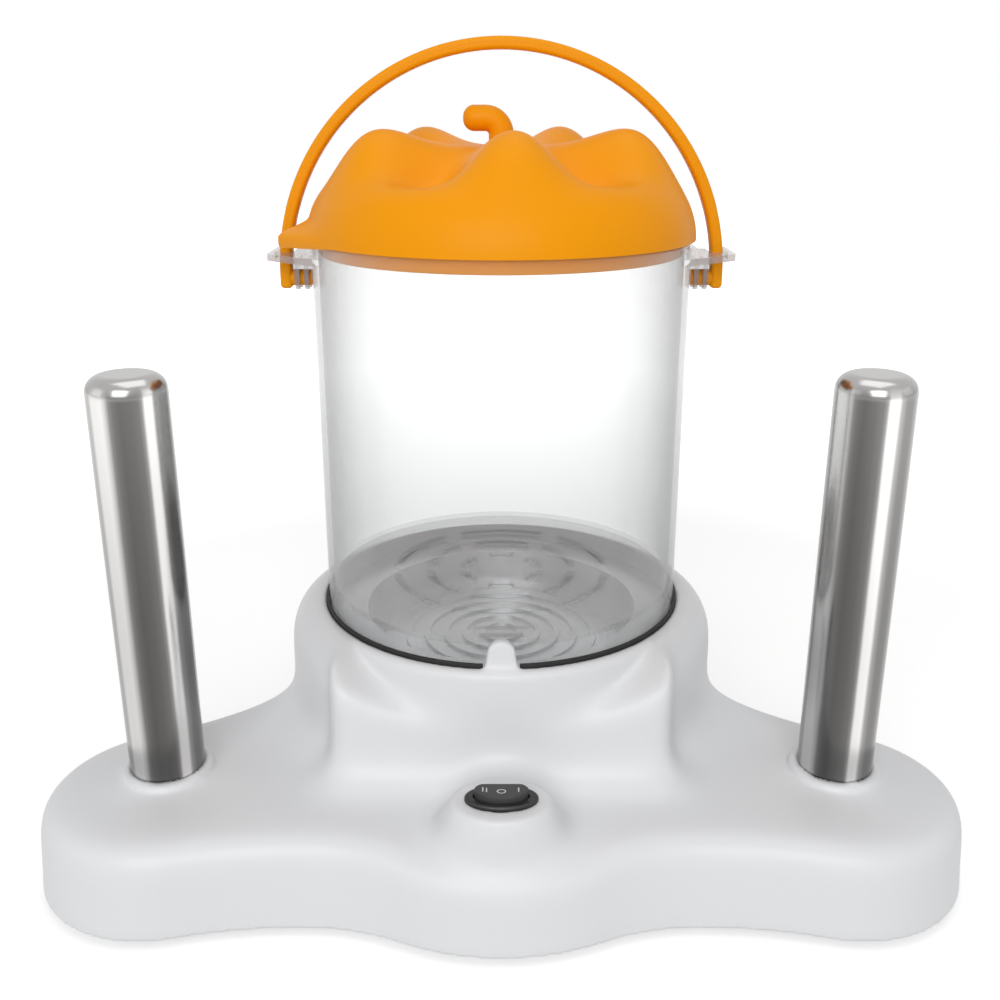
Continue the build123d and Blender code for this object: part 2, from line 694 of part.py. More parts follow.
def heating_pan():
    """Pressed steel pan that holds the water, with concentric ridges and four welded studs."""
    flange = tube(PAN_FLANGE_RADIUS, PAN_RADIUS, PAN_FLANGE_TOP - PAN_SHEET, PAN_FLANGE_TOP)
    wall = tube(PAN_RADIUS + PAN_SHEET, PAN_RADIUS, PAN_UNDERSIDE, PAN_FLANGE_TOP)
    pan = flange + wall + disc(PAN_RADIUS + PAN_SHEET, PAN_UNDERSIDE, PAN_FLOOR)
    for number in range(1, PAN_RIDGES + 1):
        middle = number * PAN_RIDGE_PITCH
        ridge = tube(
            middle + PAN_RIDGE_WIDTH / 2,
            middle - PAN_RIDGE_WIDTH / 2,
            PAN_FLOOR - PAN_SHEET / 2,
            PAN_FLOOR + PAN_RIDGE_HEIGHT,
        )
        pan += ridge
    under = PAN_FLANGE_TOP - PAN_SHEET
    for spot in stud_spots():
        pan += disc(STUD_RADIUS, under - STUD_LENGTH, under + PAN_SHEET / 2, spot)
    return pan


def pan_retaining_ring():
    """Steel ring under the ledge that spreads the pull of the pan's nuts."""
    top = LEDGE_TOP - WALL
    ring = tube(RETAINER_RADIUS, LEDGE_HOLE_RADIUS, top - RETAINER_THICKNESS, top)
    for spot in stud_spots():
        ring -= disc(STUD_RADIUS + HOLE_GAP, top - PAST, top + PAST, spot)
    return ring


def pan_nuts():
    """Hexagon nuts on the pan's studs."""
    top = LEDGE_TOP - WALL - RETAINER_THICKNESS
    hexagon = RegularPolygon(NUT_WIDTH / 2, 6, major_radius=False)
    nuts = []
    for spot in stud_spots():
        body = extrude(Pos(spot[0], spot[1], top - NUT_HEIGHT) * hexagon, amount=NUT_HEIGHT)
        nuts.append(body - disc(STUD_RADIUS + THREAD_FIT, 0, DRUM_TOP, spot))
    return group(nuts)


def element_bend(radius):
    """Open ring of round tube, with its gap towards the front."""
    section = Pos(ELEMENT_RING, DRUM_Y, DISC_UNDERSIDE) * Rot(X=90) * Circle(radius)
    open_ring = revolve(section, Axis((0, DRUM_Y, 0), (0, 0, 1)), revolution_arc=ELEMENT_TURN)
    turn = 270 + (360 - ELEMENT_TURN) / 2
    about = Pos(0, DRUM_Y, 0) * Rot(Z=turn) * Pos(0, -DRUM_Y, 0)
    return about * open_ring


def element_ends():
    """Centres of the two ends of the element's open ring."""
    half_gap = (360 - ELEMENT_TURN) / 2
    turns = [radians(270 - half_gap), radians(270 + half_gap)]
    return [(ELEMENT_RING * cos(t), DRUM_Y + ELEMENT_RING * sin(t)) for t in turns]


def element_shape(radius, tail):
    """Element's ring with both ends bent straight down."""
    shape = element_bend(radius)
    for spot in element_ends():
        shape += disc(radius, DISC_UNDERSIDE - tail, DISC_UNDERSIDE + radius, spot)
    return shape


def heating_element():
    """Sheathed heating element with its two cold pins."""
    shape = element_shape(ELEMENT_RADIUS, ELEMENT_TAIL)
    low = DISC_UNDERSIDE - ELEMENT_TAIL - ELEMENT_PIN_LENGTH
    for spot in element_ends():
        shape += disc(ELEMENT_PIN_RADIUS, low, DISC_UNDERSIDE - ELEMENT_TAIL / 2, spot)
    return shape


def element_screw_spots():
    """Places of the screws that hold the element's clamp."""
    return ring_of(3, ELEMENT_SCREW_RING, start=90)


def thermostat_screw_spots():
    """Places of the two screws of the thermostat's ears."""
    away = THERMOSTAT_RADIUS + SCREW_HEAD_RADIUS + SCREW_ROOM
    return [(-away, DRUM_Y), (away, DRUM_Y)]


def fuse_foot_spots():
    """Places of the fuse clip's two screws."""
    away = FUSE_RADIUS + FUSE_SCREW_AWAY + SCREW_HEAD_RADIUS
    return [(0, DRUM_Y + FUSE_AWAY + side * away) for side in (-1, 1)]


def heater_disc():
    """Cast aluminium disc that spreads the element's heat under the pan."""
    body = disc(HEATER_DISC_RADIUS, DISC_UNDERSIDE, PAN_UNDERSIDE)
    body -= element_shape(ELEMENT_RADIUS + TOUCH_GAP, ELEMENT_TAIL)
    for spot in element_screw_spots() + thermostat_screw_spots() + fuse_foot_spots():
        body -= disc(
            SCREW_RADIUS + THREAD_FIT, DISC_UNDERSIDE - PAST, DISC_UNDERSIDE + SHORT_BITE, spot
        )
    return body


def element_clamp():
    """Open steel ring that presses the element into its groove."""
    low = ELEMENT_CLAMP_TOP - ELEMENT_CLAMP_THICKNESS
    ring = tube(ELEMENT_CLAMP_OUTER, ELEMENT_CLAMP_INNER, low, ELEMENT_CLAMP_TOP)
    gap = 2 * (abs(element_ends()[0][0]) + 2 * ELEMENT_RADIUS)
    ring -= block(gap, DRUM_RADIUS, low - PAST, low + 2 * PAST, (0, DRUM_Y - DRUM_RADIUS / 2))
    for spot in element_screw_spots():
        ring += disc(SCREW_HEAD_RADIUS, low, DISC_UNDERSIDE, spot)
        ring -= disc(SCREW_RADIUS + HOLE_GAP, 0, DRUM_TOP, spot)
    return ring


def element_clamp_screws():
    """Screws of the element's clamp."""
    seat = ELEMENT_CLAMP_TOP - ELEMENT_CLAMP_THICKNESS
    bite = DISC_UNDERSIDE + SHORT_BITE - SHORT_END_GAP - seat
    return group([pan_head_screw(spot, seat, bite) for spot in element_screw_spots()])


def thermostat():
    """Bimetal thermostat with two ears and two blade terminals."""
    low = DISC_UNDERSIDE - THERMOSTAT_HEIGHT
    body = disc(THERMOSTAT_RADIUS, low, DISC_UNDERSIDE)
    left, right = thermostat_screw_spots()
    strap = 2 * (right[0] + SCREW_HEAD_RADIUS)
    ear_low = DISC_UNDERSIDE - THERMOSTAT_EAR
    body += block(strap, 2 * SCREW_HEAD_RADIUS, ear_low, DISC_UNDERSIDE, DRUM_AXIS)
    for side in (-1, 1):
        blade = (0, DRUM_Y + side * THERMOSTAT_RADIUS / 2)
        body += block(BLADE[1], BLADE[0], low - BLADE[2], low + THERMOSTAT_EAR, blade)
    for spot in (left, right):
        body -= disc(SCREW_RADIUS + HOLE_GAP, 0, DRUM_TOP, spot)
    return body


def thermostat_screws():
    """Screws of the thermostat's ears."""
    seat = DISC_UNDERSIDE - THERMOSTAT_EAR
    bite = THERMOSTAT_EAR + SHORT_BITE - SHORT_END_GAP
    return group([pan_head_screw(spot, seat, bite) for spot in thermostat_screw_spots()])


def fuse_axis_z():
    """Height of the thermal fuse's axis."""
    return DISC_UNDERSIDE - FUSE_RADIUS - TOUCH_GAP


def thermal_fuse():
    """Axial thermal fuse lying across the underside of the disc."""
    place = Pos(0, DRUM_Y + FUSE_AWAY, fuse_axis_z()) * Rot(Y=90)
    body = place * Cylinder(FUSE_RADIUS, FUSE_LENGTH)
    return body + place * Cylinder(FUSE_RADIUS / 3, 2 * FUSE_LENGTH)


def fuse_clip():
    """Steel saddle that holds the fuse against the disc."""
    at = (0, DRUM_Y + FUSE_AWAY)
    width = 2 * SCREW_HEAD_RADIUS
    reach = fuse_foot_spots()[1][1] - at[1] + SCREW_HEAD_RADIUS
    half = FUSE_RADIUS + TOUCH_GAP
    low = DISC_UNDERSIDE - 2 * half
    strap = block(width, 2 * reach, DISC_UNDERSIDE - CLIP_SHEET, DISC_UNDERSIDE, at)
    strap += block(width, 2 * (half + CLIP_SHEET), low - CLIP_SHEET, DISC_UNDERSIDE, at)
    strap -= block(2 * width, 2 * half, low, DRUM_TOP, at)
    for spot in fuse_foot_spots():
        strap -= disc(SCREW_RADIUS + HOLE_GAP, 0, DRUM_TOP, spot)
    return strap


def fuse_screws():
    """Screws of the fuse clip."""
    seat = DISC_UNDERSIDE - CLIP_SHEET
    return group([pan_head_screw(spot, seat, SHORT_BITE) for spot in fuse_foot_spots()])


def rod(spot):
    """Polished steel tube with a closed rounded tip and a flange below the wing."""
    neck_top = WING_TOP + COLLAR_HEIGHT + ROD_NECK_ABOVE
    outside = disc(ROD_RADIUS, neck_top, ROD_TOP, spot)
    outside = fillet(outside.edges().sort_by(Axis.Z)[-1], ROD_TIP_ROUND)
    outside += disc(ROD_RADIUS - ROD_NECK_STEP, ROD_BOTTOM, neck_top, spot)
    inside = disc(ROD_RADIUS - ROD_WALL, ROD_BOTTOM - PAST, ROD_TOP - ROD_WALL, spot)
    inside = fillet(inside.edges().sort_by(Axis.Z)[-1], ROD_TIP_ROUND - ROD_WALL)
    flange = disc(ROD_FLANGE_RADIUS, ROD_BOTTOM, ROD_BOTTOM + ROD_WALL, spot)
    return outside + flange - inside


def rod_seal(spot):
    """Silicone washer between the rod's flange and its sleeve."""
    low = ROD_BOTTOM + ROD_WALL
    return tube(ROD_FLANGE_RADIUS, ROD_RADIUS + ROD_HOLE_GAP, low, low + ROD_SEAL_HEIGHT, spot)


def rod_heater(spot):
    """Cartridge heater inside the rod, on a ceramic foot."""
    low = ROD_BOTTOM - CLAMP_PLATE_THICKNESS - ROD_HEATER_TAIL
    core = disc(ROD_HEATER_RADIUS, low, ROD_HEATER_TOP, spot)
    core = chamfer(core.edges().sort_by(Axis.Z)[-1], ROD_HEATER_CHAMFER)
    radius = ROD_RADIUS - ROD_WALL - ROD_HOLE_GAP
    return core + disc(radius, ROD_BOTTOM, ROD_BOTTOM + ROD_HEATER_FOOT, spot)


def clamp_plate(spot):
    """Steel plate that presses the rod's flange up against its seal."""
    low = ROD_BOTTOM - CLAMP_PLATE_THICKNESS
    plate = disc(CLAMP_PLATE_RADIUS, low, ROD_BOTTOM, spot)
    plate -= disc(ROD_HEATER_RADIUS + HOLE_GAP, 0, ROD_TOP, spot)
    for place in ring_of(3, CLAMP_SCREW_RING, spot, 90):
        plate -= disc(SCREW_RADIUS + HOLE_GAP, 0, ROD_TOP, place)
    return plate


def rod_clamp_screws():
    """Screws of both clamp plates."""
    seat = ROD_BOTTOM - CLAMP_PLATE_THICKNESS
    bite = CLAMP_PLATE_THICKNESS + SCREW_BITE - SCREW_END_GAP
    spots = [place for _, spot in rod_spots() for place in ring_of(3, CLAMP_SCREW_RING, spot, 90)]
    return group([pan_head_screw(place, seat, bite) for place in spots])


def switch_body():
    """Black switch case with its oval bezel and the rocker's well."""
    at = (0, BOSS_Y)
    well_x, well_y = ROCKER_X + ROCKER_GAP_X, ROCKER_Y + ROCKER_GAP_Y
    case = oval(well_x + SWITCH_WALL, well_y + SWITCH_WALL, SWITCH_BOTTOM, BOSS_TOP, at)
    bezel = oval(BEZEL_X, BEZEL_Y, BOSS_TOP, BOSS_TOP + BEZEL_HEIGHT, at)
    bezel = fillet(bezel.edges().sort_by(Axis.Z)[-1], BEZEL_ROUND)
    drop = ROCKER_X * sin(radians(ROCKER_SWING))
    floor = ROCKER_AXIS_Z - ROCKER_BELOW - drop - ROCKER_PIN_RADIUS
    body = case + bezel - oval(well_x, well_y, floor, BOSS_TOP + PAST, at)
    bore = ROCKER_PIN_RADIUS + THREAD_FIT
    length = 2 * (ROCKER_Y + ROCKER_PIN_LENGTH + TOUCH_GAP)
    return body - Pos(0, BOSS_Y, ROCKER_AXIS_Z) * Rot(X=90) * Cylinder(bore, length)


def rocker():
    """Three-position rocker with its dished top and two trunnions."""
    top = BOSS_TOP + BEZEL_HEIGHT + ROCKER_PROUD
    low = ROCKER_AXIS_Z - ROCKER_BELOW
    body = oval(ROCKER_X, ROCKER_Y, low, top, (0, BOSS_Y))
    dish_z = top + ROCKER_DISH_RADIUS - ROCKER_DISH_DEPTH
    body -= Pos(0, BOSS_Y, dish_z) * Rot(X=90) * Cylinder(ROCKER_DISH_RADIUS, 4 * ROCKER_Y)
    length = 2 * (ROCKER_Y + ROCKER_PIN_LENGTH)
    return body + Pos(0, BOSS_Y, ROCKER_AXIS_Z) * Rot(X=90) * Cylinder(ROCKER_PIN_RADIUS, length)


def switch_terminals():
    """Blade terminals under the switch case."""
    spots = [(x, BOSS_Y + y) for x in BLADE_COLUMNS for y in BLADE_ROWS]
    blades = [
        block(BLADE[0], BLADE[1] / 2, SWITCH_BOTTOM - BLADE[2], SWITCH_BOTTOM, spot) for spot in spots
    ]
    return group(blades)


def terminal_fixing_spots():
    """Places of the two screws that fix the terminal block."""
    half = TERMINAL_BLOCK[0] / 2 + SCREW_HEAD_RADIUS + SCREW_ROOM
    return [(-half, DRUM_Y + TERMINAL_BACK), (half, DRUM_Y + TERMINAL_BACK)]


def terminal_way_spots():
    """Places of the terminal block's ways."""
    pitch = TERMINAL_BLOCK[0] / TERMINAL_WAYS
    first = -TERMINAL_BLOCK[0] / 2 + pitch / 2
    return [(first + i * pitch, DRUM_Y + TERMINAL_BACK) for i in range(TERMINAL_WAYS)]


def terminal_screw_radius():
    """Radius of the clamping screws in the terminal block's ways."""
    return SCREW_HEAD_RADIUS - SCREW_ROOM - TOUCH_GAP


def terminal_block():
    """Connector strip on the bottom cover, with lugs for its two screws."""
    at = (0, DRUM_Y + TERMINAL_BACK)
    top = COVER_TOP + TERMINAL_BLOCK[2]
    body = block(TERMINAL_BLOCK[0], TERMINAL_BLOCK[1], COVER_TOP, top, at)
    lugs = 2 * (terminal_fixing_spots()[1][0] + SCREW_HEAD_RADIUS + SCREW_ROOM)
    width = 2 * (SCREW_HEAD_RADIUS + SCREW_ROOM)
    body += block(lugs, width, COVER_TOP, COVER_TOP + TERMINAL_LUG, at)
    for spot in terminal_fixing_spots():
        body -= disc(SCREW_RADIUS + HOLE_GAP, 0, DRUM_TOP, spot)
    for spot in terminal_way_spots():
        body -= disc(terminal_screw_radius() + TOUCH_GAP, top - TERMINAL_SCREW_DEPTH, top + PAST, spot)
        tunnel = Pos(spot[0], spot[1], COVER_TOP + TERMINAL_TUNNEL) * Rot(X=90)
        body -= tunnel * Cylinder(LEAD_RADIUS + HOLE_GAP, 2 * TERMINAL_BLOCK[1])
    return body


def terminal_screws():
    """Brass clamping screws in the ways, and the block's two fixing screws."""
    top = COVER_TOP + TERMINAL_BLOCK[2]
    low, high = top - TERMINAL_SCREW_DEPTH, top - TERMINAL_SCREW_SUNK
    wide, _, deep = SCREW_SLOT
    screws = [
        disc(terminal_screw_radius(), low, high, spot)
        - block(wide, 2 * SCREW_HEAD_RADIUS, high - deep, top, spot)
        for spot in terminal_way_spots()
    ]
    seat = COVER_TOP + TERMINAL_LUG
    bite = TERMINAL_LUG + COVER_THICKNESS
    screws += [pan_head_screw(spot, seat, bite, up=False) for spot in terminal_fixing_spots()]
    return group(screws)


def cord_clamp_y():
    """Distance back of the cord clamp."""
    return DRUM_Y + DRUM_RADIUS - WALL - CORD_CLAMP_FROM_WALL


def cord_clamp_screw_spots():
    """Places of the cord clamp's two screws."""
    half = CORD_CLAMP[0] / 2 - SCREW_HEAD_RADIUS - SCREW_ROOM
    return [(-half, cord_clamp_y()), (half, cord_clamp_y())]


def cord_clamp():
    """Moulded bridge that grips the mains lead on the bottom cover."""
    at = (0, cord_clamp_y())
    top = COVER_TOP + CORD_CLAMP[2]
    hump = GLAND_BORE_RADIUS + CORD_CLAMP_BRIDGE
    body = block(CORD_CLAMP[0], CORD_CLAMP[1], COVER_TOP, top, at)
    barrel = Pos(at[0], at[1], COVER_TOP + CORD_CLAMP_AXIS) * Rot(X=90)
    above = block(CORD_CLAMP[0], CORD_CLAMP[1], COVER_TOP, COVER_TOP + 4 * hump, at)
    body += (barrel * Cylinder(hump, CORD_CLAMP[1])) & above
    body -= barrel * Cylinder(GLAND_BORE_RADIUS, 2 * CORD_CLAMP[1])
    for spot in cord_clamp_screw_spots():
        body -= disc(SCREW_RADIUS + HOLE_GAP, 0, DRUM_TOP, spot)
    return body


def cord_clamp_screws():
    """Screws of the cord clamp."""
    seat = COVER_TOP + CORD_CLAMP[2]
    bite = CORD_CLAMP[2] + COVER_THICKNESS
    return group(
        [pan_head_screw(spot, seat, bite, up=False) for spot in cord_clamp_screw_spots()]
    )


def lead(points, bend):
    """Insulated wire along straight runs joined by arcs."""
    path = FilletPolyline(*points, radius=bend)
    start = Plane(origin=path @ 0, z_dir=path % 0)
    return sweep(start * Circle(LEAD_RADIUS), path=path)


def rod_leads(side):
    """Two wires from a rod's heater to the terminal block, along the floor of the base."""
    low = ROD_BOTTOM - CLAMP_PLATE_THICKNESS - ROD_HEATER_TAIL
    run_z = COVER_TOP + LEAD_RADIUS + TOUCH_GAP
    wires = []
    for number in range(2):
        shift = (number - 0.5) * LEAD_SPACING
        way = terminal_way_spots()[2 + side * (1 + number)]
        start_x = side * WING_X + shift
        end_y = way[1] - TERMINAL_BLOCK[1] / 2 - SEAT_GAP
        turn_y = way[1] - TERMINAL_BLOCK[1] / 2 - 4 * LEAD_SPACING + side * shift
        points = [
            (start_x, ROD_Y, low - SEAT_GAP / 3),
            (start_x, ROD_Y, run_z),
            (way[0], turn_y, run_z),
            (way[0], end_y, run_z),
        ]
        wires.append(lead(points, LEAD_BEND))
    return group(wires)


def floor_slots():
    """Steam openings of the container's floor: rings cut by plain spokes."""
    half = FLOOR_SLOT_WIDTH / 2
    low, high = CONTAINER_FLOOR_TOP - CONTAINER_FLOOR - PAST, CONTAINER_FLOOR_TOP + PAST
    slots = tube(FLOOR_SLOT_RINGS[0] + half, FLOOR_SLOT_RINGS[0] - half, low, high)
    for radius in FLOOR_SLOT_RINGS[1:]:
        slots += tube(radius + half, radius - half, low, high)
    for number in range(FLOOR_SPOKES):
        spoke = block(3 * CONTAINER_RADIUS, FLOOR_SPOKE_WIDTH, low - PAST, high + PAST)
        slots -= Pos(0, DRUM_Y, 0) * Rot(Z=180 * number / FLOOR_SPOKES) * spoke
    return slots


def ear(side):
    """Flat ear at the rim with its slot for the bail's leg and two clips below it."""
    outline = Polyline(
        (side * (CONTAINER_INNER - PAST), DRUM_Y - EAR_ROOT),
        (side * EAR_REACH, DRUM_Y - EAR_TIP),
        (side * EAR_REACH, DRUM_Y + EAR_TIP),
        (side * (CONTAINER_INNER - PAST), DRUM_Y + EAR_ROOT),
        close=True,
    )
    plate = extrude(Pos(0, 0, EAR_BOTTOM) * make_face(outline.edges()), amount=EAR_THICKNESS)
    tips = plate.edges().filter_by(Axis.Z).sort_by(Axis.X)
    plate = fillet(tips[-2:] if side > 0 else tips[:2], EAR_TIP_ROUND)
    height = EAR_TOP - PIVOT_Z
    lean = radians(BAIL_FORWARD_LIMIT)
    slot_front = height * tan(lean) + BAIL_WIDTH / 2 / cos(lean) + EAR_SLOT_GAP
    slot_low = BAIL_INNER - CLIP_OUTER_GAP
    slot_high = BAIL_OUTER + EAR_SLOT_GAP
    slot = block(
        slot_high - slot_low,
        slot_front + 2 * EAR_ROOT,
        EAR_BOTTOM - PAST,
        EAR_TOP + PAST,
        (side * (slot_low + slot_high) / 2, DRUM_Y - slot_front + (slot_front + 2 * EAR_ROOT) / 2),
    )
    plate -= slot
    behind = BAIL_INNER - ARM_TAPER
    plate -= block(
        slot_high - behind,
        2 * EAR_ROOT,
        EAR_BOTTOM - PAST,
        EAR_TOP + PAST,
        (side * (behind + slot_high) / 2, DRUM_Y + ARM_TAPER_BACK + EAR_ROOT),
    )
    inner_clip = side * (PIVOT_PIN_END + CLIP_INNER_GAP + CLIP_WIDTH / 2)
    outer_clip = side * (slot_low - CLIP_WIDTH / 2)
    for x in (inner_clip, outer_clip):
        plate += clip(x)
    return plate


def clip(x):
    """Open hook under an ear that the bail's pin snaps into from below."""
    bore = PIVOT_PIN_RADIUS + PIVOT_FIT
    outer = bore + CLIP_WALL
    place = Pos(x, DRUM_Y, PIVOT_Z) * Rot(Y=90)
    at = (x, DRUM_Y)
    hook = place * Cylinder(outer, CLIP_WIDTH)
    hook += block(CLIP_WIDTH, 2 * outer, PIVOT_Z, EAR_BOTTOM, at)
    hook -= block(2 * CLIP_WIDTH, CLIP_MOUTH, PIVOT_Z - 2 * outer, PIVOT_Z, at)
    return hook - place * Cylinder(bore, 2 * CLIP_WIDTH)


def container():
    """Clear moulded jar with a slotted floor, keyed foot, two ears and four clips."""
    body = tube(CONTAINER_RADIUS, CONTAINER_INNER, CONTAINER_BOTTOM, CONTAINER_RIM)
    rim = body.edges().filter_by(GeomType.CIRCLE).sort_by(Axis.Z)[-2:]
    body = fillet(rim, CONTAINER_WALL / 3)
    body += disc(CONTAINER_INNER + TOUCH_GAP, CONTAINER_FLOOR_TOP - CONTAINER_FLOOR, CONTAINER_FLOOR_TOP)
    body -= floor_slots()
    half = TAB_WIDTH / 2 + NOTCH_GAP
    deep = TAB_THICKNESS - TAB_PROUD - (BORE_RADIUS - CONTAINER_RADIUS) + NOTCH_GAP
    notch_top = TAB_TOP + NOTCH_GAP / 2
    notch_back = DRUM_Y - CONTAINER_RADIUS + deep
    pocket_back = notch_back + NOTCH_RIB
    front = DRUM_Y - CONTAINER_RADIUS - PAST
    pocket = block(
        2 * (half + NOTCH_RIB),
        pocket_back - front,
        CONTAINER_BOTTOM,
        notch_top + NOTCH_RIB,
        (0, (front + pocket_back) / 2),
    )
    body += pocket & disc(CONTAINER_RADIUS, 0, CONTAINER_RIM)
    body -= block(
        2 * half, notch_back - front, CONTAINER_BOTTOM - PAST, notch_top, (0, (front + notch_back) / 2)
    )
    inside = disc(CONTAINER_INNER, 0, 2 * CONTAINER_RIM)
    for side in (-1, 1):
        body += ear(side) - inside
    return body


def bail_handle():
    """Half-round carrying handle with straight legs and two inward pins."""
    middle = BAIL_INNER + BAIL_THICKNESS / 2
    foot_z = ARCH_Z - LEG_BELOW_ARCH
    section = RectangleRounded(BAIL_THICKNESS, BAIL_WIDTH, BAIL_ROUND)
    legs = [
        extrude(Pos(side * middle, DRUM_Y, foot_z) * section, amount=LEG_BELOW_ARCH)
        for side in (-1, 1)
    ]
    arch = revolve(
        Pos(middle, DRUM_Y, ARCH_Z) * section, Axis((0, DRUM_Y, ARCH_Z), (0, -1, 0)), revolution_arc=180
    )
    handle = arch + legs[0] + legs[1]
    ends = [face for face in handle.faces() if abs(face.center().Z - foot_z) < TOUCH_GAP]
    handle = fillet([edge for face in ends for edge in face.edges()], BAIL_ROUND - TOUCH_GAP)
    length = middle - PIVOT_PIN_END
    for side in (-1, 1):
        centre = side * (PIVOT_PIN_END + middle) / 2
        pin = Pos(centre, DRUM_Y, PIVOT_Z) * Rot(Y=90) * Cylinder(PIVOT_PIN_RADIUS, length)
        handle += pin
    return handle


def dome_height(share, around):
    """Height of the lid's surface above its rim, at a share of the rim's radius."""
    fourth = share**4
    crest = LOBE_INNER / (LOBE_INNER + 4 * LOBE_OUTER)
    swell = (fourth / crest) ** (LOBE_INNER / 4) * ((1 - fourth) / (1 - crest)) ** LOBE_OUTER
    wave = cos(LOBES * radians(around - LOBE_TURN + 90))
    return LID_RISE * sqrt(1 - share**LID_FULLNESS) + LOBE_SWELL * swell * wave


def dome_point(turn, around):
    """Point of the lid's surface, at a turn of 0 in its middle and of 90 degrees at its rim."""
    share = sin(radians(turn))
    height = dome_height(share, around)
    if turn > 90:
        height = -height
    reach = LID_RIM_RADIUS * share
    x, y = reach * cos(radians(around)), reach * sin(radians(around))
    return Vector(x, DRUM_Y + y, LID_RIM_Z + height)


def dome_ring(turn, inset, level=None):
    """Closed ring on the lid's surface or drawn in by the wall, laid flat at a level if given."""
    points = []
    for number in range(DOME_POINTS):
        around = 360 * number / DOME_POINTS
        along = dome_point(turn + DOME_STEP, around) - dome_point(turn - DOME_STEP, around)
        across = dome_point(turn, around + DOME_STEP) - dome_point(turn, around - DOME_STEP)
        point = dome_point(turn, around) - along.cross(across).normalized() * inset
        points.append(point if level is None else Vector(point.X, point.Y, level))
    return Wire([Edge.make_spline(points, periodic=True)])


def dome(inset):
    """Solid of the lobed dome, down to the rim."""
    gap = (90 - DOME_FLAT) / DOME_BANDS
    rings = [dome_ring(DOME_FLAT, inset, LID_CENTRE_Z - inset)]
    rings += [dome_ring(DOME_FLAT + gap * number, inset) for number in range(1, DOME_BANDS)]
    rings.append(dome_ring(90, inset, LID_RIM_Z))
    side = Solid.make_loft(rings).faces()[0]
    caps = [Face(Wire([edge])) for edge in side.edges() if edge.is_closed]
    return Solid(Shell([side] + caps))


def lid_tab():
    """Flat flare of the lid's rim over the front half of the left ear, up to the bail's leg."""
    low = LID_RIM_Z - LID_TAB_DROP
    tip_top = low + LID_TAB_THICKNESS
    lean = radians(BAIL_FORWARD_LIMIT)
    tab_top = tip_top + LID_TAB_RISE + LID_LIFT
    leg_sweep = (tab_top - PIVOT_Z) * tan(lean) + BAIL_WIDTH / 2 / cos(lean)
    back = DRUM_Y - leg_sweep - EAR_SLOT_GAP
    start = radians(LID_TAB_START)
    root = (LID_RIM_RADIUS * cos(start), DRUM_Y + LID_RIM_RADIUS * sin(start))
    plan = Polyline(
        root,
        (-LID_TAB_REACH, back - LID_TAB_TIP),
        (-LID_TAB_REACH, back),
        (-CONTAINER_INNER, back),
        close=True,
    )
    plate = extrude(Pos(0, 0, low) * make_face(plan.edges()), amount=2 * LID_TAB_THICKNESS)
    side = Polyline(
        (0, low),
        (-LID_TAB_REACH, low),
        (-LID_TAB_REACH, tip_top),
        (-CONTAINER_INNER, tip_top + LID_TAB_RISE),
        (0, tip_top + LID_TAB_RISE),
        close=True,
    )
    wedge = extrude(
        Pos(0, DRUM_Y, 0) * Rot(X=90) * make_face(side.edges()), amount=2 * LID_RIM_RADIUS, both=True
    )
    return (plate & wedge) - disc(CONTAINER_RADIUS + LID_LIP_GAP, 0, LID_RIM_Z)


def lid():
    """Pumpkin-shaped lid with a locating lip, a side tab and a seat for its stem."""
    lip_radius = CONTAINER_INNER - LID_LIP_GAP
    body = dome(0.0) - dome(LID_WALL)
    body += tube(
        LID_RIM_RADIUS - LID_WALL / 2,
        lip_radius - LID_WALL,
        LID_RIM_Z,
        LID_RIM_Z + LID_LIP_ROOT,
    )
    body += tube(lip_radius, lip_radius - LID_WALL, LID_RIM_Z - LID_LIP_DEPTH, LID_RIM_Z + LID_LIP_ROOT)
    body += lid_tab() - disc(LID_RIM_RADIUS - LID_WALL, LID_RIM_Z, 2 * LID_RIM_Z)
    body -= disc(STEM_RADIUS + HOLE_GAP, LID_CENTRE_Z, LID_CENTRE_Z + STEM_RISE)
    head_seat = LID_CENTRE_Z - LID_WALL
    body -= disc(SCREW_HEAD_RADIUS + HOLE_GAP, head_seat - SCREW_HEAD_HEIGHT, head_seat)
    return body - disc(SCREW_RADIUS + HOLE_GAP, LID_RIM_Z, 2 * LID_RIM_Z)


def lid_stem():
    """Curled stalk that serves as the lid's knob."""
    bend_z = LID_CENTRE_Z + STEM_RISE
    rise = Line((0, DRUM_Y, LID_CENTRE_Z), (0, DRUM_Y, bend_z))
    bend = ThreePointArc(
        (0, DRUM_Y, bend_z),
        (-STEM_BEND * (1 - cos(radians(45))), DRUM_Y, bend_z + STEM_BEND * sin(radians(45))),
        (-STEM_BEND, DRUM_Y, bend_z + STEM_BEND),
    )
    reach = Line(bend @ 1, (-STEM_BEND - STEM_REACH, DRUM_Y, bend_z + STEM_BEND))
    path = Wire([rise.edge(), bend.edge(), reach.edge()])
    stalk = sweep(Pos(0, DRUM_Y, LID_CENTRE_Z) * Circle(STEM_RADIUS), path=path)
    stalk = fillet(stalk.edges().sort_by(Axis.X)[0], STEM_TIP_ROUND)
    return stalk - disc(SCREW_RADIUS + THREAD_FIT, LID_CENTRE_Z - PAST, bend_z)


def stem_screw():
    """Screw that holds the stem from inside the lid."""
    inside = LID_CENTRE_Z - LID_WALL
    bite = LID_WALL + STEM_RISE - SCREW_END_GAP
    return pan_head_screw(DRUM_AXIS, inside, bite)


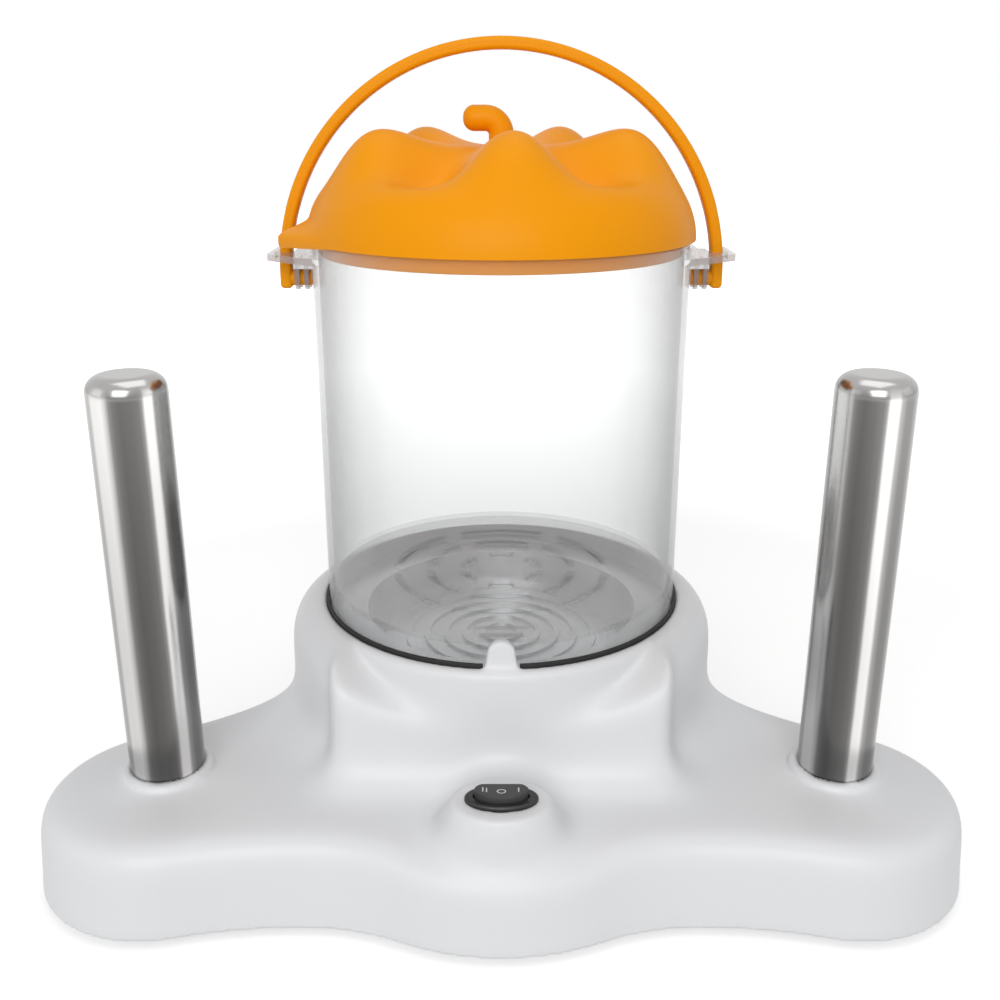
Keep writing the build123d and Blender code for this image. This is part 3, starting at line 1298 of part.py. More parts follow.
def all_pieces():
    """Every piece of the machine by name."""
    pieces = {
        "base_housing": base_housing(),
        "bottom_cover": bottom_cover(),
        "cover_screws": cover_screws(),
        "plate_seal": plate_seal(),
        "heating_pan": heating_pan(),
        "pan_retaining_ring": pan_retaining_ring(),
        "pan_nuts": pan_nuts(),
        "heater_disc": heater_disc(),
        "heating_element": heating_element(),
        "element_clamp": element_clamp(),
        "element_clamp_screws": element_clamp_screws(),
        "thermostat": thermostat(),
        "thermostat_screws": thermostat_screws(),
        "thermal_fuse": thermal_fuse(),
        "fuse_clip": fuse_clip(),
        "fuse_screws": fuse_screws(),
        "rod_clamp_screws": rod_clamp_screws(),
        "switch_body": switch_body(),
        "switch_terminals": switch_terminals(),
        "rocker": rocker(),
        "terminal_block": terminal_block(),
        "terminal_screws": terminal_screws(),
        "cord_gland": cord_gland(),
        "cord_clamp": cord_clamp(),
        "cord_clamp_screws": cord_clamp_screws(),
        "container": container(),
        "lid": lid(),
        "lid_stem": lid_stem(),
        "stem_screw": stem_screw(),
        "bail_handle": bail_handle(),
    }
    names = ("foot_left_front", "foot_right_front", "foot_left_rear", "foot_right_rear")
    for name, spot in zip(names, both_sides(FOOT_SPOTS)):
        pieces[name] = foot(spot)
    for name, spot in rod_spots():
        pieces[name + "_rod"] = rod(spot)
        pieces[name + "_rod_seal"] = rod_seal(spot)
        pieces[name + "_rod_heater"] = rod_heater(spot)
        pieces[name + "_clamp_plate"] = clamp_plate(spot)
    pieces["left_rod_leads"] = rod_leads(-1)
    pieces["right_rod_leads"] = rod_leads(1)
    return pieces


os.makedirs("parts", exist_ok=True)
for piece_name, piece in all_pieces().items():
    export_step(piece, f"parts/{piece_name}.step")
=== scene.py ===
"""Hot dog maker in its finishes: one section for each piece, in the order it is put together."""
import bmesh
import bpy
import numpy as np
from math import cos, pi, radians, sin, sqrt
from mathutils import Euler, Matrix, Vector


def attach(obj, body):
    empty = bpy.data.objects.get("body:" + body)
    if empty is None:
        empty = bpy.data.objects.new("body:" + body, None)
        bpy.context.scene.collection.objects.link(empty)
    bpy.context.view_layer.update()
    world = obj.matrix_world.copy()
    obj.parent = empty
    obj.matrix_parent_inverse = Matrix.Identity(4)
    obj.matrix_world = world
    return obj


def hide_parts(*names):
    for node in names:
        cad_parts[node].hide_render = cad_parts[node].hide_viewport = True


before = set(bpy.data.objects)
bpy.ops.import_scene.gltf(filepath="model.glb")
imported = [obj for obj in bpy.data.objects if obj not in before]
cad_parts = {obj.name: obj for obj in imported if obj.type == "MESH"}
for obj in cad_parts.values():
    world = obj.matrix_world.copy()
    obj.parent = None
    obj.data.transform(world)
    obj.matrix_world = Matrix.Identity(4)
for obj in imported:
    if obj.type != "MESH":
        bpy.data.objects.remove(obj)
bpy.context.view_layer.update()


# ---- Studio
# A plain pale floor under soft light from the front and above, with a white surround. The camera
# stands where the photograph was taken from: 19.2 degrees down, a little over 0.4 m away.
CAMERA_PLACE = (-0.0005, -0.4252, 0.2807)
CAMERA_DOWN = 19.2
CAMERA_LENS = 40.5
CAMERA_SENSOR = 36.0
CAMERA_NEAR = 0.01
WHITE = (1.0, 1.0, 1.0)
FLOOR_SIZE = 6.0
FLOOR_SEEN = (0.68, 0.68, 0.68)
FLOOR_BOUNCE = (0.80, 0.80, 0.80)
GLOW_LEAST = 0.5
GLOW_FROM = 0.35
GLOW_WIDTH = 0.5
SURROUND_LEVEL = 0.38
LAMPS_AIM = (0.0, 0.0, 0.12)
LAMPS = (
    ("front_lamp", (-0.2, -1.7, 1.0), 1.3, 20.0),
    ("top_lamp", (0.1, 0.1, 1.7), 1.3, 6.0),
    ("left_lamp", (-1.6, -0.5, 0.7), 0.9, 1.0),
    ("right_lamp", (1.6, -0.3, 0.7), 0.9, 0.9),
)


class Value:
    """A socket's result. Sums, products and powers of it lay Math nodes on its board."""

    def __init__(self, board, socket):
        self.board = board
        self.socket = socket

    def maths(self, operation, *others, clamp=False):
        settings = {"operation": operation, "use_clamp": clamp}
        return self.board.lay("ShaderNodeMath", settings, dict(enumerate((self, *others))))

    def __add__(self, other):
        return self.maths("ADD", other)

    __radd__ = __add__

    def __mul__(self, other):
        return self.maths("MULTIPLY", other)

    __rmul__ = __mul__

    def __sub__(self, other):
        return self.maths("SUBTRACT", other)

    def __rsub__(self, other):
        return self.board.lay("ShaderNodeMath", {"operation": "SUBTRACT"}, {0: other, 1: self})

    def __truediv__(self, other):
        return self.maths("DIVIDE", other)

    def __rtruediv__(self, other):
        return self.board.lay("ShaderNodeMath", {"operation": "DIVIDE"}, {0: other, 1: self})

    def __pow__(self, other):
        return self.maths("POWER", other)

    def limit(self):
        """The value kept between 0 and 1."""
        return self.maths("ADD", 0.0, clamp=True)


class Board:
    """The node board of one material or one shape."""

    def __init__(self, tree):
        self.tree = tree

    def lay(self, kind, settings=None, wires=None, out=0):
        """Lays a node: its settings first, then the values or links of its sockets."""
        node = self.tree.nodes.new(kind)
        for name, value in (settings or {}).items():
            if name == "stops":
                ramp = node.color_ramp
                while len(ramp.elements) < len(value):
                    ramp.elements.new(1.0)
                for element, (place, colour) in zip(ramp.elements, value):
                    element.position = place
                    element.color = (*colour, 1.0)
            else:
                setattr(node, name, value)
        for key, value in (wires or {}).items():
            self.wire(value, node.inputs[key])
        return Value(self, node.outputs[out]) if len(node.outputs) else node

    def beside(self, value, name):
        """Another result of the node that a result comes from."""
        return Value(self, value.socket.node.outputs[name])

    def wire(self, value, socket):
        """Links a result to a socket, or sets the socket to a plain value."""
        if isinstance(value, Value):
            self.tree.links.new(value.socket, socket)
        elif isinstance(value, tuple) and socket.type == "RGBA":
            socket.default_value = (*value, 1.0)
        else:
            socket.default_value = value


def seen_share(board):
    """1 for rays from the camera, a mirror or through clear plastic, 0 for the rest."""
    camera_ray = board.lay("ShaderNodeLightPath", out="Is Camera Ray")
    share = camera_ray.maths("MAXIMUM", board.beside(camera_ray, "Is Glossy Ray"))
    return share.maths("MAXIMUM", board.beside(camera_ray, "Is Transmission Ray"))


floor_mesh = bpy.data.meshes.new("studio_floor")
half = FLOOR_SIZE / 2
corners = [(-half, -half, 0), (half, -half, 0), (half, half, 0), (-half, half, 0)]
floor_mesh.from_pydata(corners, [], [(0, 1, 2, 3)])
floor = bpy.data.objects.new("studio_floor", floor_mesh)
bpy.context.scene.collection.objects.link(floor)
floor_paint = bpy.data.materials.new("studio_floor")
floor_paint.use_nodes = True
floor_paint.node_tree.nodes.clear()
board = Board(floor_paint.node_tree)
at = board.lay("ShaderNodeTexCoord", out="Object")
away = board.lay("ShaderNodeVectorMath", {"operation": "LENGTH"}, {0: at}, out="Value")
glow = GLOW_LEAST + (1.0 - GLOW_LEAST) * ((away - GLOW_FROM) / GLOW_WIDTH).limit()
seen = board.lay(
    "ShaderNodeAddShader",
    wires={
        0: board.lay("ShaderNodeBsdfDiffuse", wires={"Color": FLOOR_SEEN}),
        1: board.lay("ShaderNodeEmission", wires={"Color": WHITE, "Strength": glow}),
    },
)
bounce = board.lay("ShaderNodeBsdfDiffuse", wires={"Color": FLOOR_BOUNCE})
paint = board.lay("ShaderNodeMixShader", wires={0: seen_share(board), 1: bounce, 2: seen})
board.lay("ShaderNodeOutputMaterial", wires={"Surface": paint})
floor_mesh.materials.append(floor_paint)

world = bpy.data.worlds.new("studio")
bpy.context.scene.world = world
world.use_nodes = True
world.node_tree.nodes.clear()
board = Board(world.node_tree)
level = SURROUND_LEVEL + (1.0 - SURROUND_LEVEL) * seen_share(board)
sky = board.lay("ShaderNodeBackground", wires={"Color": WHITE, "Strength": level})
board.lay("ShaderNodeOutputWorld", wires={"Surface": sky})

for name, place, size, power in LAMPS:
    lamp = bpy.data.lights.new(name, "AREA")
    lamp.size = size
    lamp.energy = power
    holder = bpy.data.objects.new(name, lamp)
    holder.location = place
    holder.rotation_euler = (Vector(LAMPS_AIM) - Vector(place)).to_track_quat("-Z", "Y").to_euler()
    bpy.context.scene.collection.objects.link(holder)

lens = bpy.data.cameras.new("camera")
lens.lens = CAMERA_LENS
lens.sensor_width = CAMERA_SENSOR
lens.clip_start = CAMERA_NEAR
camera = bpy.data.objects.new("camera", lens)
camera.location = CAMERA_PLACE
camera.rotation_euler = Euler((radians(90 - CAMERA_DOWN), 0.0, 0.0))
bpy.context.scene.collection.objects.link(camera)
bpy.context.scene.camera = camera
bpy.context.scene.view_settings.view_transform = "Standard"


# ---- Bottom cover
# Flat plate of grey moulded plastic with a fine sparked texture, screwed up against the housing's
# pillars from below.
COVER_GREY = (0.45, 0.46, 0.47)
FLOW_SCALE = 14.0
GLOSS_SCALE = 45.0
GLOSS_SWING = 0.10
COAT_ROUGH = 0.12


def open_paint(name):
    """A new material with its shader wired to its output, and the board to lay its nodes on."""
    material = bpy.data.materials.new(name)
    material.use_nodes = True
    material.node_tree.nodes.clear()
    board = Board(material.node_tree)
    skin = board.lay("ShaderNodeBsdfPrincipled")
    board.lay("ShaderNodeOutputMaterial", wires={"Surface": skin})
    return material, board, skin.socket.node


def place_on(board, stretch=(1.0, 1.0, 1.0), shift=(0.0, 0.0, 0.0)):
    """Position on the piece, scaled and shifted."""
    at = board.lay("ShaderNodeTexCoord", out="Object")
    return board.lay("ShaderNodeMapping", wires={"Vector": at, "Scale": stretch, "Location": shift})


def clouds(board, at, scale, detail=3.0, roughness=0.5):
    """Soft mottling between 0 and 1."""
    wires = {"Vector": at, "Scale": scale, "Detail": detail, "Roughness": roughness}
    return board.lay("ShaderNodeTexNoise", wires=wires)


def between(board, share, low, high):
    """Colour between two others."""
    return board.lay("ShaderNodeMix", {"data_type": "RGBA"}, {0: share, 6: low, 7: high}, out=2)


def relief(board, height, depth, strength=1.0):
    """Normal of a surface raised by a height of that depth."""
    wires = {"Height": height, "Distance": depth, "Strength": strength}
    return board.lay("ShaderNodeBump", wires=wires, out="Normal")


def darker(colour, share):
    """A colour scaled in brightness."""
    return tuple(part * share for part in colour)


def moulded(name, colour, rough, grain=2500.0, depth=0.00001, spread=0.06, coat=0.0, gloss=0.5):
    """Moulded plastic: faint flow mottling, a sparked grain and uneven gloss."""
    material, board, shader = open_paint(name)
    at = place_on(board)
    flow = clouds(board, at, FLOW_SCALE)
    fine = clouds(board, at, grain, detail=2.0)
    tone = between(board, flow, darker(colour, 1 - spread), darker(colour, 1 + spread))
    board.wire(tone, shader.inputs["Base Color"])
    uneven = clouds(board, at, GLOSS_SCALE) - 0.5
    board.wire(rough + GLOSS_SWING * uneven, shader.inputs["Roughness"])
    board.wire(relief(board, fine, depth), shader.inputs["Normal"])
    shader.inputs["Specular IOR Level"].default_value = gloss
    shader.inputs["Coat Weight"].default_value = coat
    shader.inputs["Coat Roughness"].default_value = COAT_ROUGH
    return material


def dress(material, *names):
    """Puts a material on CAD nodes that keep their own shape."""
    for name in names:
        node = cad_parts[name]
        mesh = node.data
        if not mesh.materials:
            mesh.materials.append(material)
        for slot in node.material_slots:
            slot.link = "OBJECT"
            slot.material = material


dress(moulded("cover_plastic", COVER_GREY, 0.62, grain=1800.0, depth=0.00003), "bottom_cover")


# ---- Feet
# Four round pads of dark rubber with a chamfered edge. Their stems are pushed into the cover.
RUBBER = (0.035, 0.035, 0.037)
RUBBER_ROUGH = 0.66
RUBBER_GRAIN = 3200.0
RUBBER_DEPTH = 0.00002
DUST_GREY = (0.16, 0.16, 0.16)
DUST_SCALES = (160.0, 900.0)
DUST_DULLING = 0.2
FEET = ("foot_left_front", "foot_right_front", "foot_left_rear", "foot_right_rear")


def rubber(name, colour, dust=0.35):
    """Matt rubber with a fine grain and a little dust."""
    material, board, shader = open_paint(name)
    at = place_on(board)
    grime = clouds(board, at, DUST_SCALES[0]) * clouds(board, at, DUST_SCALES[1], detail=4.0)
    board.wire(between(board, dust * grime, colour, DUST_GREY), shader.inputs["Base Color"])
    board.wire(RUBBER_ROUGH + DUST_DULLING * grime, shader.inputs["Roughness"])
    grain = clouds(board, at, RUBBER_GRAIN)
    board.wire(relief(board, grain, RUBBER_DEPTH), shader.inputs["Normal"])
    return material


dress(rubber("foot_rubber", RUBBER), *FEET)


# ---- Screws and nuts
# Cross-slot screws and hexagon nuts in bright zinc over steel, with faint turning marks and a
# duller bloom where the plating is thin.
ZINC = (0.60, 0.61, 0.62)
BLOOM_SCALE = 60.0
BLOOM_DULLING = 0.06
LINES_DULLING = 0.16
ZINC_PIECES = (
    "cover_screws",
    "pan_nuts",
    "element_clamp_screws",
    "thermostat_screws",
    "fuse_screws",
    "rod_clamp_screws",
    "cord_clamp_screws",
    "stem_screw",
)


def metal(name, colour, rough, stretch=(1.0, 1.0, 1.0), scale=600.0, depth=0.000004, stain=0.12):
    """Bare metal: fine drawn lines along one direction and a faint stain."""
    material, board, shader = open_paint(name)
    lines = clouds(board, place_on(board, stretch), scale, detail=5.0, roughness=0.65)
    bloom = clouds(board, place_on(board), BLOOM_SCALE)
    board.wire(between(board, bloom, darker(colour, 1 - stain), colour), shader.inputs["Base Color"])
    gloss = rough + LINES_DULLING * (lines - 0.5) + BLOOM_DULLING * bloom
    board.wire(gloss, shader.inputs["Roughness"])
    board.wire(relief(board, lines, depth), shader.inputs["Normal"])
    shader.inputs["Metallic"].default_value = 1.0
    return material


dress(metal("screw_zinc", ZINC, 0.34, scale=900.0), *ZINC_PIECES)


# ---- Heating pan and its seal
# Pan pressed from stainless sheet with concentric ridges, on a black silicone ring that shows as
# a thin dark line round the container's foot.
PAN_STEEL = (0.70, 0.70, 0.71)
SEAL_BLACK = (0.014, 0.014, 0.015)
DRUM_Y = 0.019
SPUN_MARKS = 1800.0
SPUN_DEPTH = 0.00001
SPUN_DULLING = 0.2
SCALE_SPOTS = 70.0
SCALE_TONE = 0.78
SCALE_DULLING = 0.08


def spun(name, colour, rough, centre):
    """Sheet metal with marks that run round a centre and a film of limescale."""
    material, board, shader = open_paint(name)
    at = place_on(board, shift=(-centre[0], -centre[1], 0.0))
    split = board.lay("ShaderNodeSeparateXYZ", wires={0: at})
    across = board.beside(split, "Y")
    reach = (split * split + across * across) ** 0.5
    ring = board.lay("ShaderNodeCombineXYZ", wires={0: reach, 1: 0.0, 2: 0.0})
    marks = clouds(board, ring, SPUN_MARKS, detail=4.0)
    scale = clouds(board, at, SCALE_SPOTS, detail=5.0)
    board.wire(between(board, scale, darker(colour, SCALE_TONE), colour), shader.inputs["Base Color"])
    gloss = rough + SPUN_DULLING * (marks - 0.5) + SCALE_DULLING * scale
    board.wire(gloss, shader.inputs["Roughness"])
    board.wire(relief(board, marks, SPUN_DEPTH), shader.inputs["Normal"])
    shader.inputs["Metallic"].default_value = 1.0
    return material


dress(spun("pan_steel", PAN_STEEL, 0.26, (0.0, DRUM_Y)), "heating_pan")
dress(rubber("seal_black", SEAL_BLACK, dust=0.1), "plate_seal", "left_rod_seal", "right_rod_seal")


# ---- Heater under the pan
# Cast aluminium disc with a sheathed element in its groove, held by an open steel ring, and the
# thermostat and thermal fuse fixed below it.
CAST = (0.62, 0.62, 0.64)
SHEATH = (0.30, 0.29, 0.29)
SHEET_STEEL = (0.52, 0.52, 0.53)
CREAM = (0.70, 0.67, 0.60)
ROLLED = (1.0, 14.0, 14.0)
SHEET_PIECES = ("pan_retaining_ring", "element_clamp", "fuse_clip", "left_clamp_plate", "right_clamp_plate")

dress(metal("disc_aluminium", CAST, 0.52, scale=250.0, depth=0.00003), "heater_disc")
dress(metal("element_steel", SHEATH, 0.45, scale=400.0), "heating_element")
dress(metal("plain_steel", SHEET_STEEL, 0.38, ROLLED), *SHEET_PIECES)
dress(moulded("block_cream", CREAM, 0.55, grain=1400.0), "thermostat", "thermal_fuse")
dress(moulded("cord_cream", CREAM, 0.5, grain=1400.0), "terminal_block", "cord_clamp")


# ---- Rod heaters and wiring
# Cartridge heaters on ceramic feet inside the rods, wired in silicone-covered leads to the
# connector strip. The mains gland is a black rubber bush.
CERAMIC = (0.74, 0.70, 0.62)
LEAD_WHITE = (0.78, 0.78, 0.75)
BRASS = (0.72, 0.50, 0.20)

dress(moulded("heater_ceramic", CERAMIC, 0.7, grain=700.0), "left_rod_heater", "right_rod_heater")
dress(moulded("lead_white", LEAD_WHITE, 0.5), "left_rod_leads", "right_rod_leads")
dress(metal("contact_brass", BRASS, 0.3), "switch_terminals", "terminal_screws")
dress(rubber("gland_black", SEAL_BLACK), "cord_gland")


# ---- Base housing
# One white shell moulded in satin polypropylene: low lobed body, round drum, flat front panel
# and the boss of the switch flow into each other with soft roundings.
HOUSING_WHITE = (0.735, 0.742, 0.757)
HOUSING_VOXEL = 0.0011
HOUSING_SMOOTHING = 22
PANEL_SMOOTHING = 160
LAST_SMOOTHING = 2
HOUSING_FACES = 190000
WEIGHT_LEVELS = 10
FOOT_LEVEL = (0.006, 0.012)
WELL_EDGE = (0.0785, 0.082)
WELL_LEVEL = (0.070, 0.076)
COLLAR_EDGE = (0.0175, 0.020)
BOSS_EDGE = (0.0135, 0.0155)
BOSS_LEVEL = (0.043, 0.047)
BOSS_STRETCH = 1.3
PANEL_LEVEL = (0.042, 0.050)
PANEL_EDGE = (0.0800, 0.0840)
PANEL_BACK = (-0.030, -0.010)
BOSS_Y = -0.0883
ROD_X = 0.129
ROD_Y = -0.0472
ROD_NECK = 0.0138
COLLAR_BORE = 0.0150
COLLAR_LIP = 0.0385
COLLAR_TOP = 0.0416
COLLAR_RISE = 0.0008
COLLAR_ROUND = 0.002


def plain_mesh(source, name):
    """The finished mesh of an object with its modifiers, as a new mesh."""
    bpy.context.view_layer.update()
    depsgraph = bpy.context.evaluated_depsgraph_get()
    mesh = bpy.data.meshes.new_from_object(source.evaluated_get(depsgraph))
    mesh.name = name
    return mesh


def put(name, mesh, material, body):
    """A new piece from a mesh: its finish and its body."""
    piece = bpy.data.objects.new(name, mesh)
    bpy.context.scene.collection.objects.link(piece)
    mesh.materials.clear()
    mesh.materials.append(material)
    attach(piece, body)
    return piece


def joined_copy(node):
    """Copy of a CAD node's mesh with its loose triangles joined."""
    mesh = bpy.data.meshes.new(node)
    bm = bmesh.new()
    bm.from_mesh(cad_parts[node].data)
    bmesh.ops.remove_doubles(bm, verts=bm.verts, dist=1e-6)
    bm.to_mesh(mesh)
    bm.free()
    return mesh


def reworked(mesh, name, *steps, weights=None):
    """A mesh after some modifiers, each given as its kind and settings."""
    holder = bpy.data.objects.new(name, mesh)
    bpy.context.scene.collection.objects.link(holder)
    if weights is not None:
        group = holder.vertex_groups.new(name="soft")
        for level in range(1, WEIGHT_LEVELS + 1):
            chosen = np.nonzero(np.round(weights * WEIGHT_LEVELS) == level)[0]
            if len(chosen):
                group.add(chosen.tolist(), level / WEIGHT_LEVELS, "REPLACE")
    for kind, settings in steps:
        modifier = holder.modifiers.new(kind.lower(), kind)
        for key, value in settings.items():
            setattr(modifier, key, value)
    result = plain_mesh(holder, name)
    bpy.data.objects.remove(holder)
    return result


def smoothed(mesh, name, turns, weights=None):
    """A mesh after some turns of smoothing, where its weights let it."""
    settings = {"factor": 0.5, "iterations": turns}
    if weights is not None:
        settings["vertex_group"] = "soft"
    return reworked(mesh, name, ("SMOOTH", settings), weights=weights)


def points_of(mesh):
    """Every point of a mesh as an array."""
    flat = np.empty(len(mesh.vertices) * 3)
    mesh.vertices.foreach_get("co", flat)
    return flat.reshape(-1, 3)


def ramp(value, low, high):
    """0 below the low mark, 1 above the high one, smooth between."""
    share = np.clip((value - low) / (high - low), 0.0, 1.0)
    return share * share * (3 - 2 * share)


shell = reworked(
    joined_copy("base_housing"), "base_shell", ("REMESH", {"mode": "VOXEL", "voxel_size": HOUSING_VOXEL})
)
spots = points_of(shell)
from_drum = np.hypot(spots[:, 0], spots[:, 1] - DRUM_Y)
from_rod = np.hypot(np.abs(spots[:, 0]) - ROD_X, spots[:, 1] - ROD_Y)
from_boss = np.hypot(spots[:, 0] / BOSS_STRETCH, spots[:, 1] - BOSS_Y)
soft = ramp(spots[:, 2], *FOOT_LEVEL)
soft *= 1 - (1 - ramp(from_drum, *WELL_EDGE)) * ramp(spots[:, 2], *WELL_LEVEL)
soft *= ramp(from_rod, *COLLAR_EDGE)
soft *= 1 - (1 - ramp(from_boss, *BOSS_EDGE)) * ramp(spots[:, 2], *BOSS_LEVEL)
shell = smoothed(shell, "base_shell", HOUSING_SMOOTHING, soft)
band = soft * ramp(spots[:, 2], *PANEL_LEVEL) * ramp(from_drum, *PANEL_EDGE)
band *= 1 - ramp(spots[:, 1], *PANEL_BACK)
shell = smoothed(shell, "base_shell", PANEL_SMOOTHING, band)
shell = smoothed(shell, "base_shell", LAST_SMOOTHING)
spots = points_of(shell)
reach = np.hypot(np.abs(spots[:, 0]) - ROD_X, spots[:, 1] - ROD_Y)
lip = (reach < COLLAR_BORE) & (spots[:, 2] > COLLAR_LIP)
spots[lip, 2] += COLLAR_RISE * ramp(spots[lip, 2], COLLAR_TOP - COLLAR_ROUND, COLLAR_TOP)
for side in (-1, 1):
    chosen = lip & (spots[:, 0] * side > 0)
    middle = np.array((side * ROD_X, ROD_Y))
    spots[chosen, :2] = middle + (spots[chosen, :2] - middle) * (ROD_NECK / reach[chosen])[:, None]
shell.vertices.foreach_set("co", spots.ravel())
shell.update()
faces = len(shell.polygons) * 2
if faces > HOUSING_FACES:
    shell = reworked(shell, "base_shell", ("DECIMATE", {"ratio": HOUSING_FACES / faces}))
shell.shade_smooth()
housing_white = moulded(
    "housing_white", HOUSING_WHITE, 0.43, grain=3000.0, depth=0.000004, spread=0.012, coat=0.06, gloss=0.4
)
housing = put("base_shell", shell, housing_white, "base")
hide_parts("base_housing")


# ---- Rods
# Polished stainless tubes with closed rounded tips, pushed up through the collars of the wings.
# Bright and dark bands along the tube are painted reflections, given here by their angle round it and their
# brightness; drawing leaves very fine lines.
ROD_TONE = (1.0, 0.985, 0.965)
ROD_TURN = radians(18.8)
ROD_TIP = (0.188, 0.193)
ROD_TIP_LEVEL = 0.42
DRAWN_ALONG = (30.0, 30.0, 1.0)
DRAWN_SCALE = 90.0
DRAWN_DEPTH = 0.000002
DRAWN_SWING = 0.10
REFLECTION_EDGE_BLUR = 0.004
WAVER_ALONG = (1.0, 1.0, 0.25)
WAVER_SCALE = 50.0
WAVER_REACH = 0.012
ROD_PAINTED_REFLECTIONS = (
    (-180, 0.30), (-160, 0.62), (-150, 0.66), (-138, 0.13), (-118, 0.11), (-104, 0.33),
    (-90, 0.21), (-66, 0.32), (-58, 0.62), (-40, 0.64), (-34, 0.46), (-28, 0.19), (-22, 0.13),
    (-13, 0.10), (2, 0.12), (13, 0.16), (18, 0.27), (22, 0.80), (34, 0.88), (39, 0.40),
    (48, 0.24), (60, 0.21), (72, 0.25), (90, 0.33), (108, 0.14), (130, 0.12), (148, 0.40), (180, 0.30),
)


def tube_with_painted_reflections(name, tone, painted_reflections, turn, rough):
    """Polished drawn tube: painted reflections as bands of differing brightness round it, and fine lines
    along it.
    """
    material, board, shader = open_paint(name)
    at = place_on(board)
    x = board.lay("ShaderNodeSeparateXYZ", wires={0: at})
    side = x.maths("SIGN")
    round_it = (x - side * ROD_X).maths("ARCTAN2", ROD_Y - board.beside(x, "Y")) + side * turn
    lines = clouds(board, place_on(board, DRAWN_ALONG), DRAWN_SCALE, detail=5.0, roughness=0.65)
    waver = WAVER_REACH * (clouds(board, place_on(board, WAVER_ALONG), WAVER_SCALE) - 0.5)
    # Painted reflections: the ramp turns the angle round the tube into bright and dark bands.
    stops = [((angle + 180) / 360, darker(tone, level)) for angle, level in painted_reflections]
    wires = {0: round_it / (2 * pi) + 0.5 + waver + REFLECTION_EDGE_BLUR * (lines - 0.5)}
    body = board.lay("ShaderNodeValToRGB", {"stops": stops}, wires)
    # On the tip the painted reflections fade into one plain tone.
    tip = ((board.beside(x, "Z") - ROD_TIP[0]) / (ROD_TIP[1] - ROD_TIP[0])).limit()
    board.wire(between(board, tip, body, darker(tone, ROD_TIP_LEVEL)), shader.inputs["Base Color"])
    board.wire(rough + DRAWN_SWING * (lines - 0.5), shader.inputs["Roughness"])
    board.wire(relief(board, lines, DRAWN_DEPTH), shader.inputs["Normal"])
    shader.inputs["Metallic"].default_value = 1.0
    return material


dress(tube_with_painted_reflections("rod_steel", ROD_TONE, ROD_PAINTED_REFLECTIONS, ROD_TURN, 0.20), "left_rod", "right_rod")


# ---- Switch
# Oval rocker switch of satin black nylon, snapped into the boss. Its rocker carries the marks for
# its three positions, printed in pale grey.
SWITCH_BLACK = (0.016, 0.016, 0.017)
ROCKER_BLACK = (0.042, 0.042, 0.044)
MARK_GREY = (0.62, 0.63, 0.64)
ROCKER_TOP = 0.0568
ROCKER_DISH = 0.0010
DISH_RADIUS = 0.026
MARK_LINE = 0.00045
MARK_TALL = 0.0026
MARK_PROUD = 0.00005
BAR_PLACES = (-0.0065, -0.0052, 0.0060)
RING_OUTER = (0.00165, 0.00130)
RING_INNER = (0.00120, 0.00088)
RING_STEPS = 32


def dish_height(x):
    """Height of the rocker's dished top at a distance from its middle."""
    return ROCKER_TOP - ROCKER_DISH + DISH_RADIUS - sqrt(DISH_RADIUS**2 - x**2)


def printed(outline_groups):
    """Flat marks laid on the rocker's dish, each a strip between two rows of points."""
    bm = bmesh.new()
    for first, second in outline_groups:
        rows = []
        for row in (first, second):
            rows.append([bm.verts.new((x, BOSS_Y + y, dish_height(x) + MARK_PROUD)) for x, y in row])
        for i in range(len(first) - 1):
            bm.faces.new((rows[0][i], rows[0][i + 1], rows[1][i + 1], rows[1][i]))
    bmesh.ops.remove_doubles(bm, verts=bm.verts, dist=1e-7)
    bmesh.ops.recalc_face_normals(bm, faces=bm.faces)
    bm.faces.ensure_lookup_table()
    if bm.faces[0].normal.z < 0:
        bmesh.ops.reverse_faces(bm, faces=bm.faces)
    mesh = bpy.data.meshes.new("switch_marks")
    bm.to_mesh(mesh)
    bm.free()
    return mesh


strips = []
for middle in BAR_PLACES:
    left, right = middle - MARK_LINE / 2, middle + MARK_LINE / 2
    heights = (-MARK_TALL / 2, 0.0, MARK_TALL / 2)
    strips.append(([(right, y) for y in heights], [(left, y) for y in heights]))
turns = [2 * pi * i / RING_STEPS for i in range(RING_STEPS + 1)]
strips.append([[(wide * cos(t), tall * sin(t)) for t in turns] for wide, tall in (RING_OUTER, RING_INNER)])
mark_paint = moulded("mark_print", MARK_GREY, 0.5)
put("switch_marks", printed(strips), mark_paint, "rocker")
dress(moulded("switch_black", SWITCH_BLACK, 0.36, grain=3000.0, depth=0.000006, spread=0.2), "switch_body")
dress(moulded("rocker_black", ROCKER_BLACK, 0.42, grain=3000.0, depth=0.000006, spread=0.2), "rocker")


# ---- Container
# Clear jar moulded in styrene with a slotted floor, a notched skirt and two ears with snap clips. Seen edge
# on, its walls turn grey; this grey is painted shade set by the viewing angle. The ears are denser, and
# their pinkish tint is partly a painted reflection of the orange lid and bail.
CLEAR = (0.86, 0.87, 0.88)
CLEAR_EDGE_SHADE = (0.36, 0.36, 0.37)
EAR_TINT_AND_REFLECTION = (0.44, 0.36, 0.33)
EAR_SHARE = 0.5
EAR_FROM = 0.0739
EAR_FADE = 0.0008
EAR_LOW = 0.200
EAR_LOW_FADE = 0.001
STYRENE_IOR = 1.55
CLEAR_ROUGH = 0.05
CLEAR_SWING = 0.05
CLEAR_MOTTLE = 40.0
CLEAR_WAVES = 60.0
CLEAR_WAVE_DEPTH = 0.00002
EDGE_SHADE_POWER = 1.5
EDGE_SKIN_POWER = 2.0
OPEN_TINT = (0.985, 0.99, 0.99)


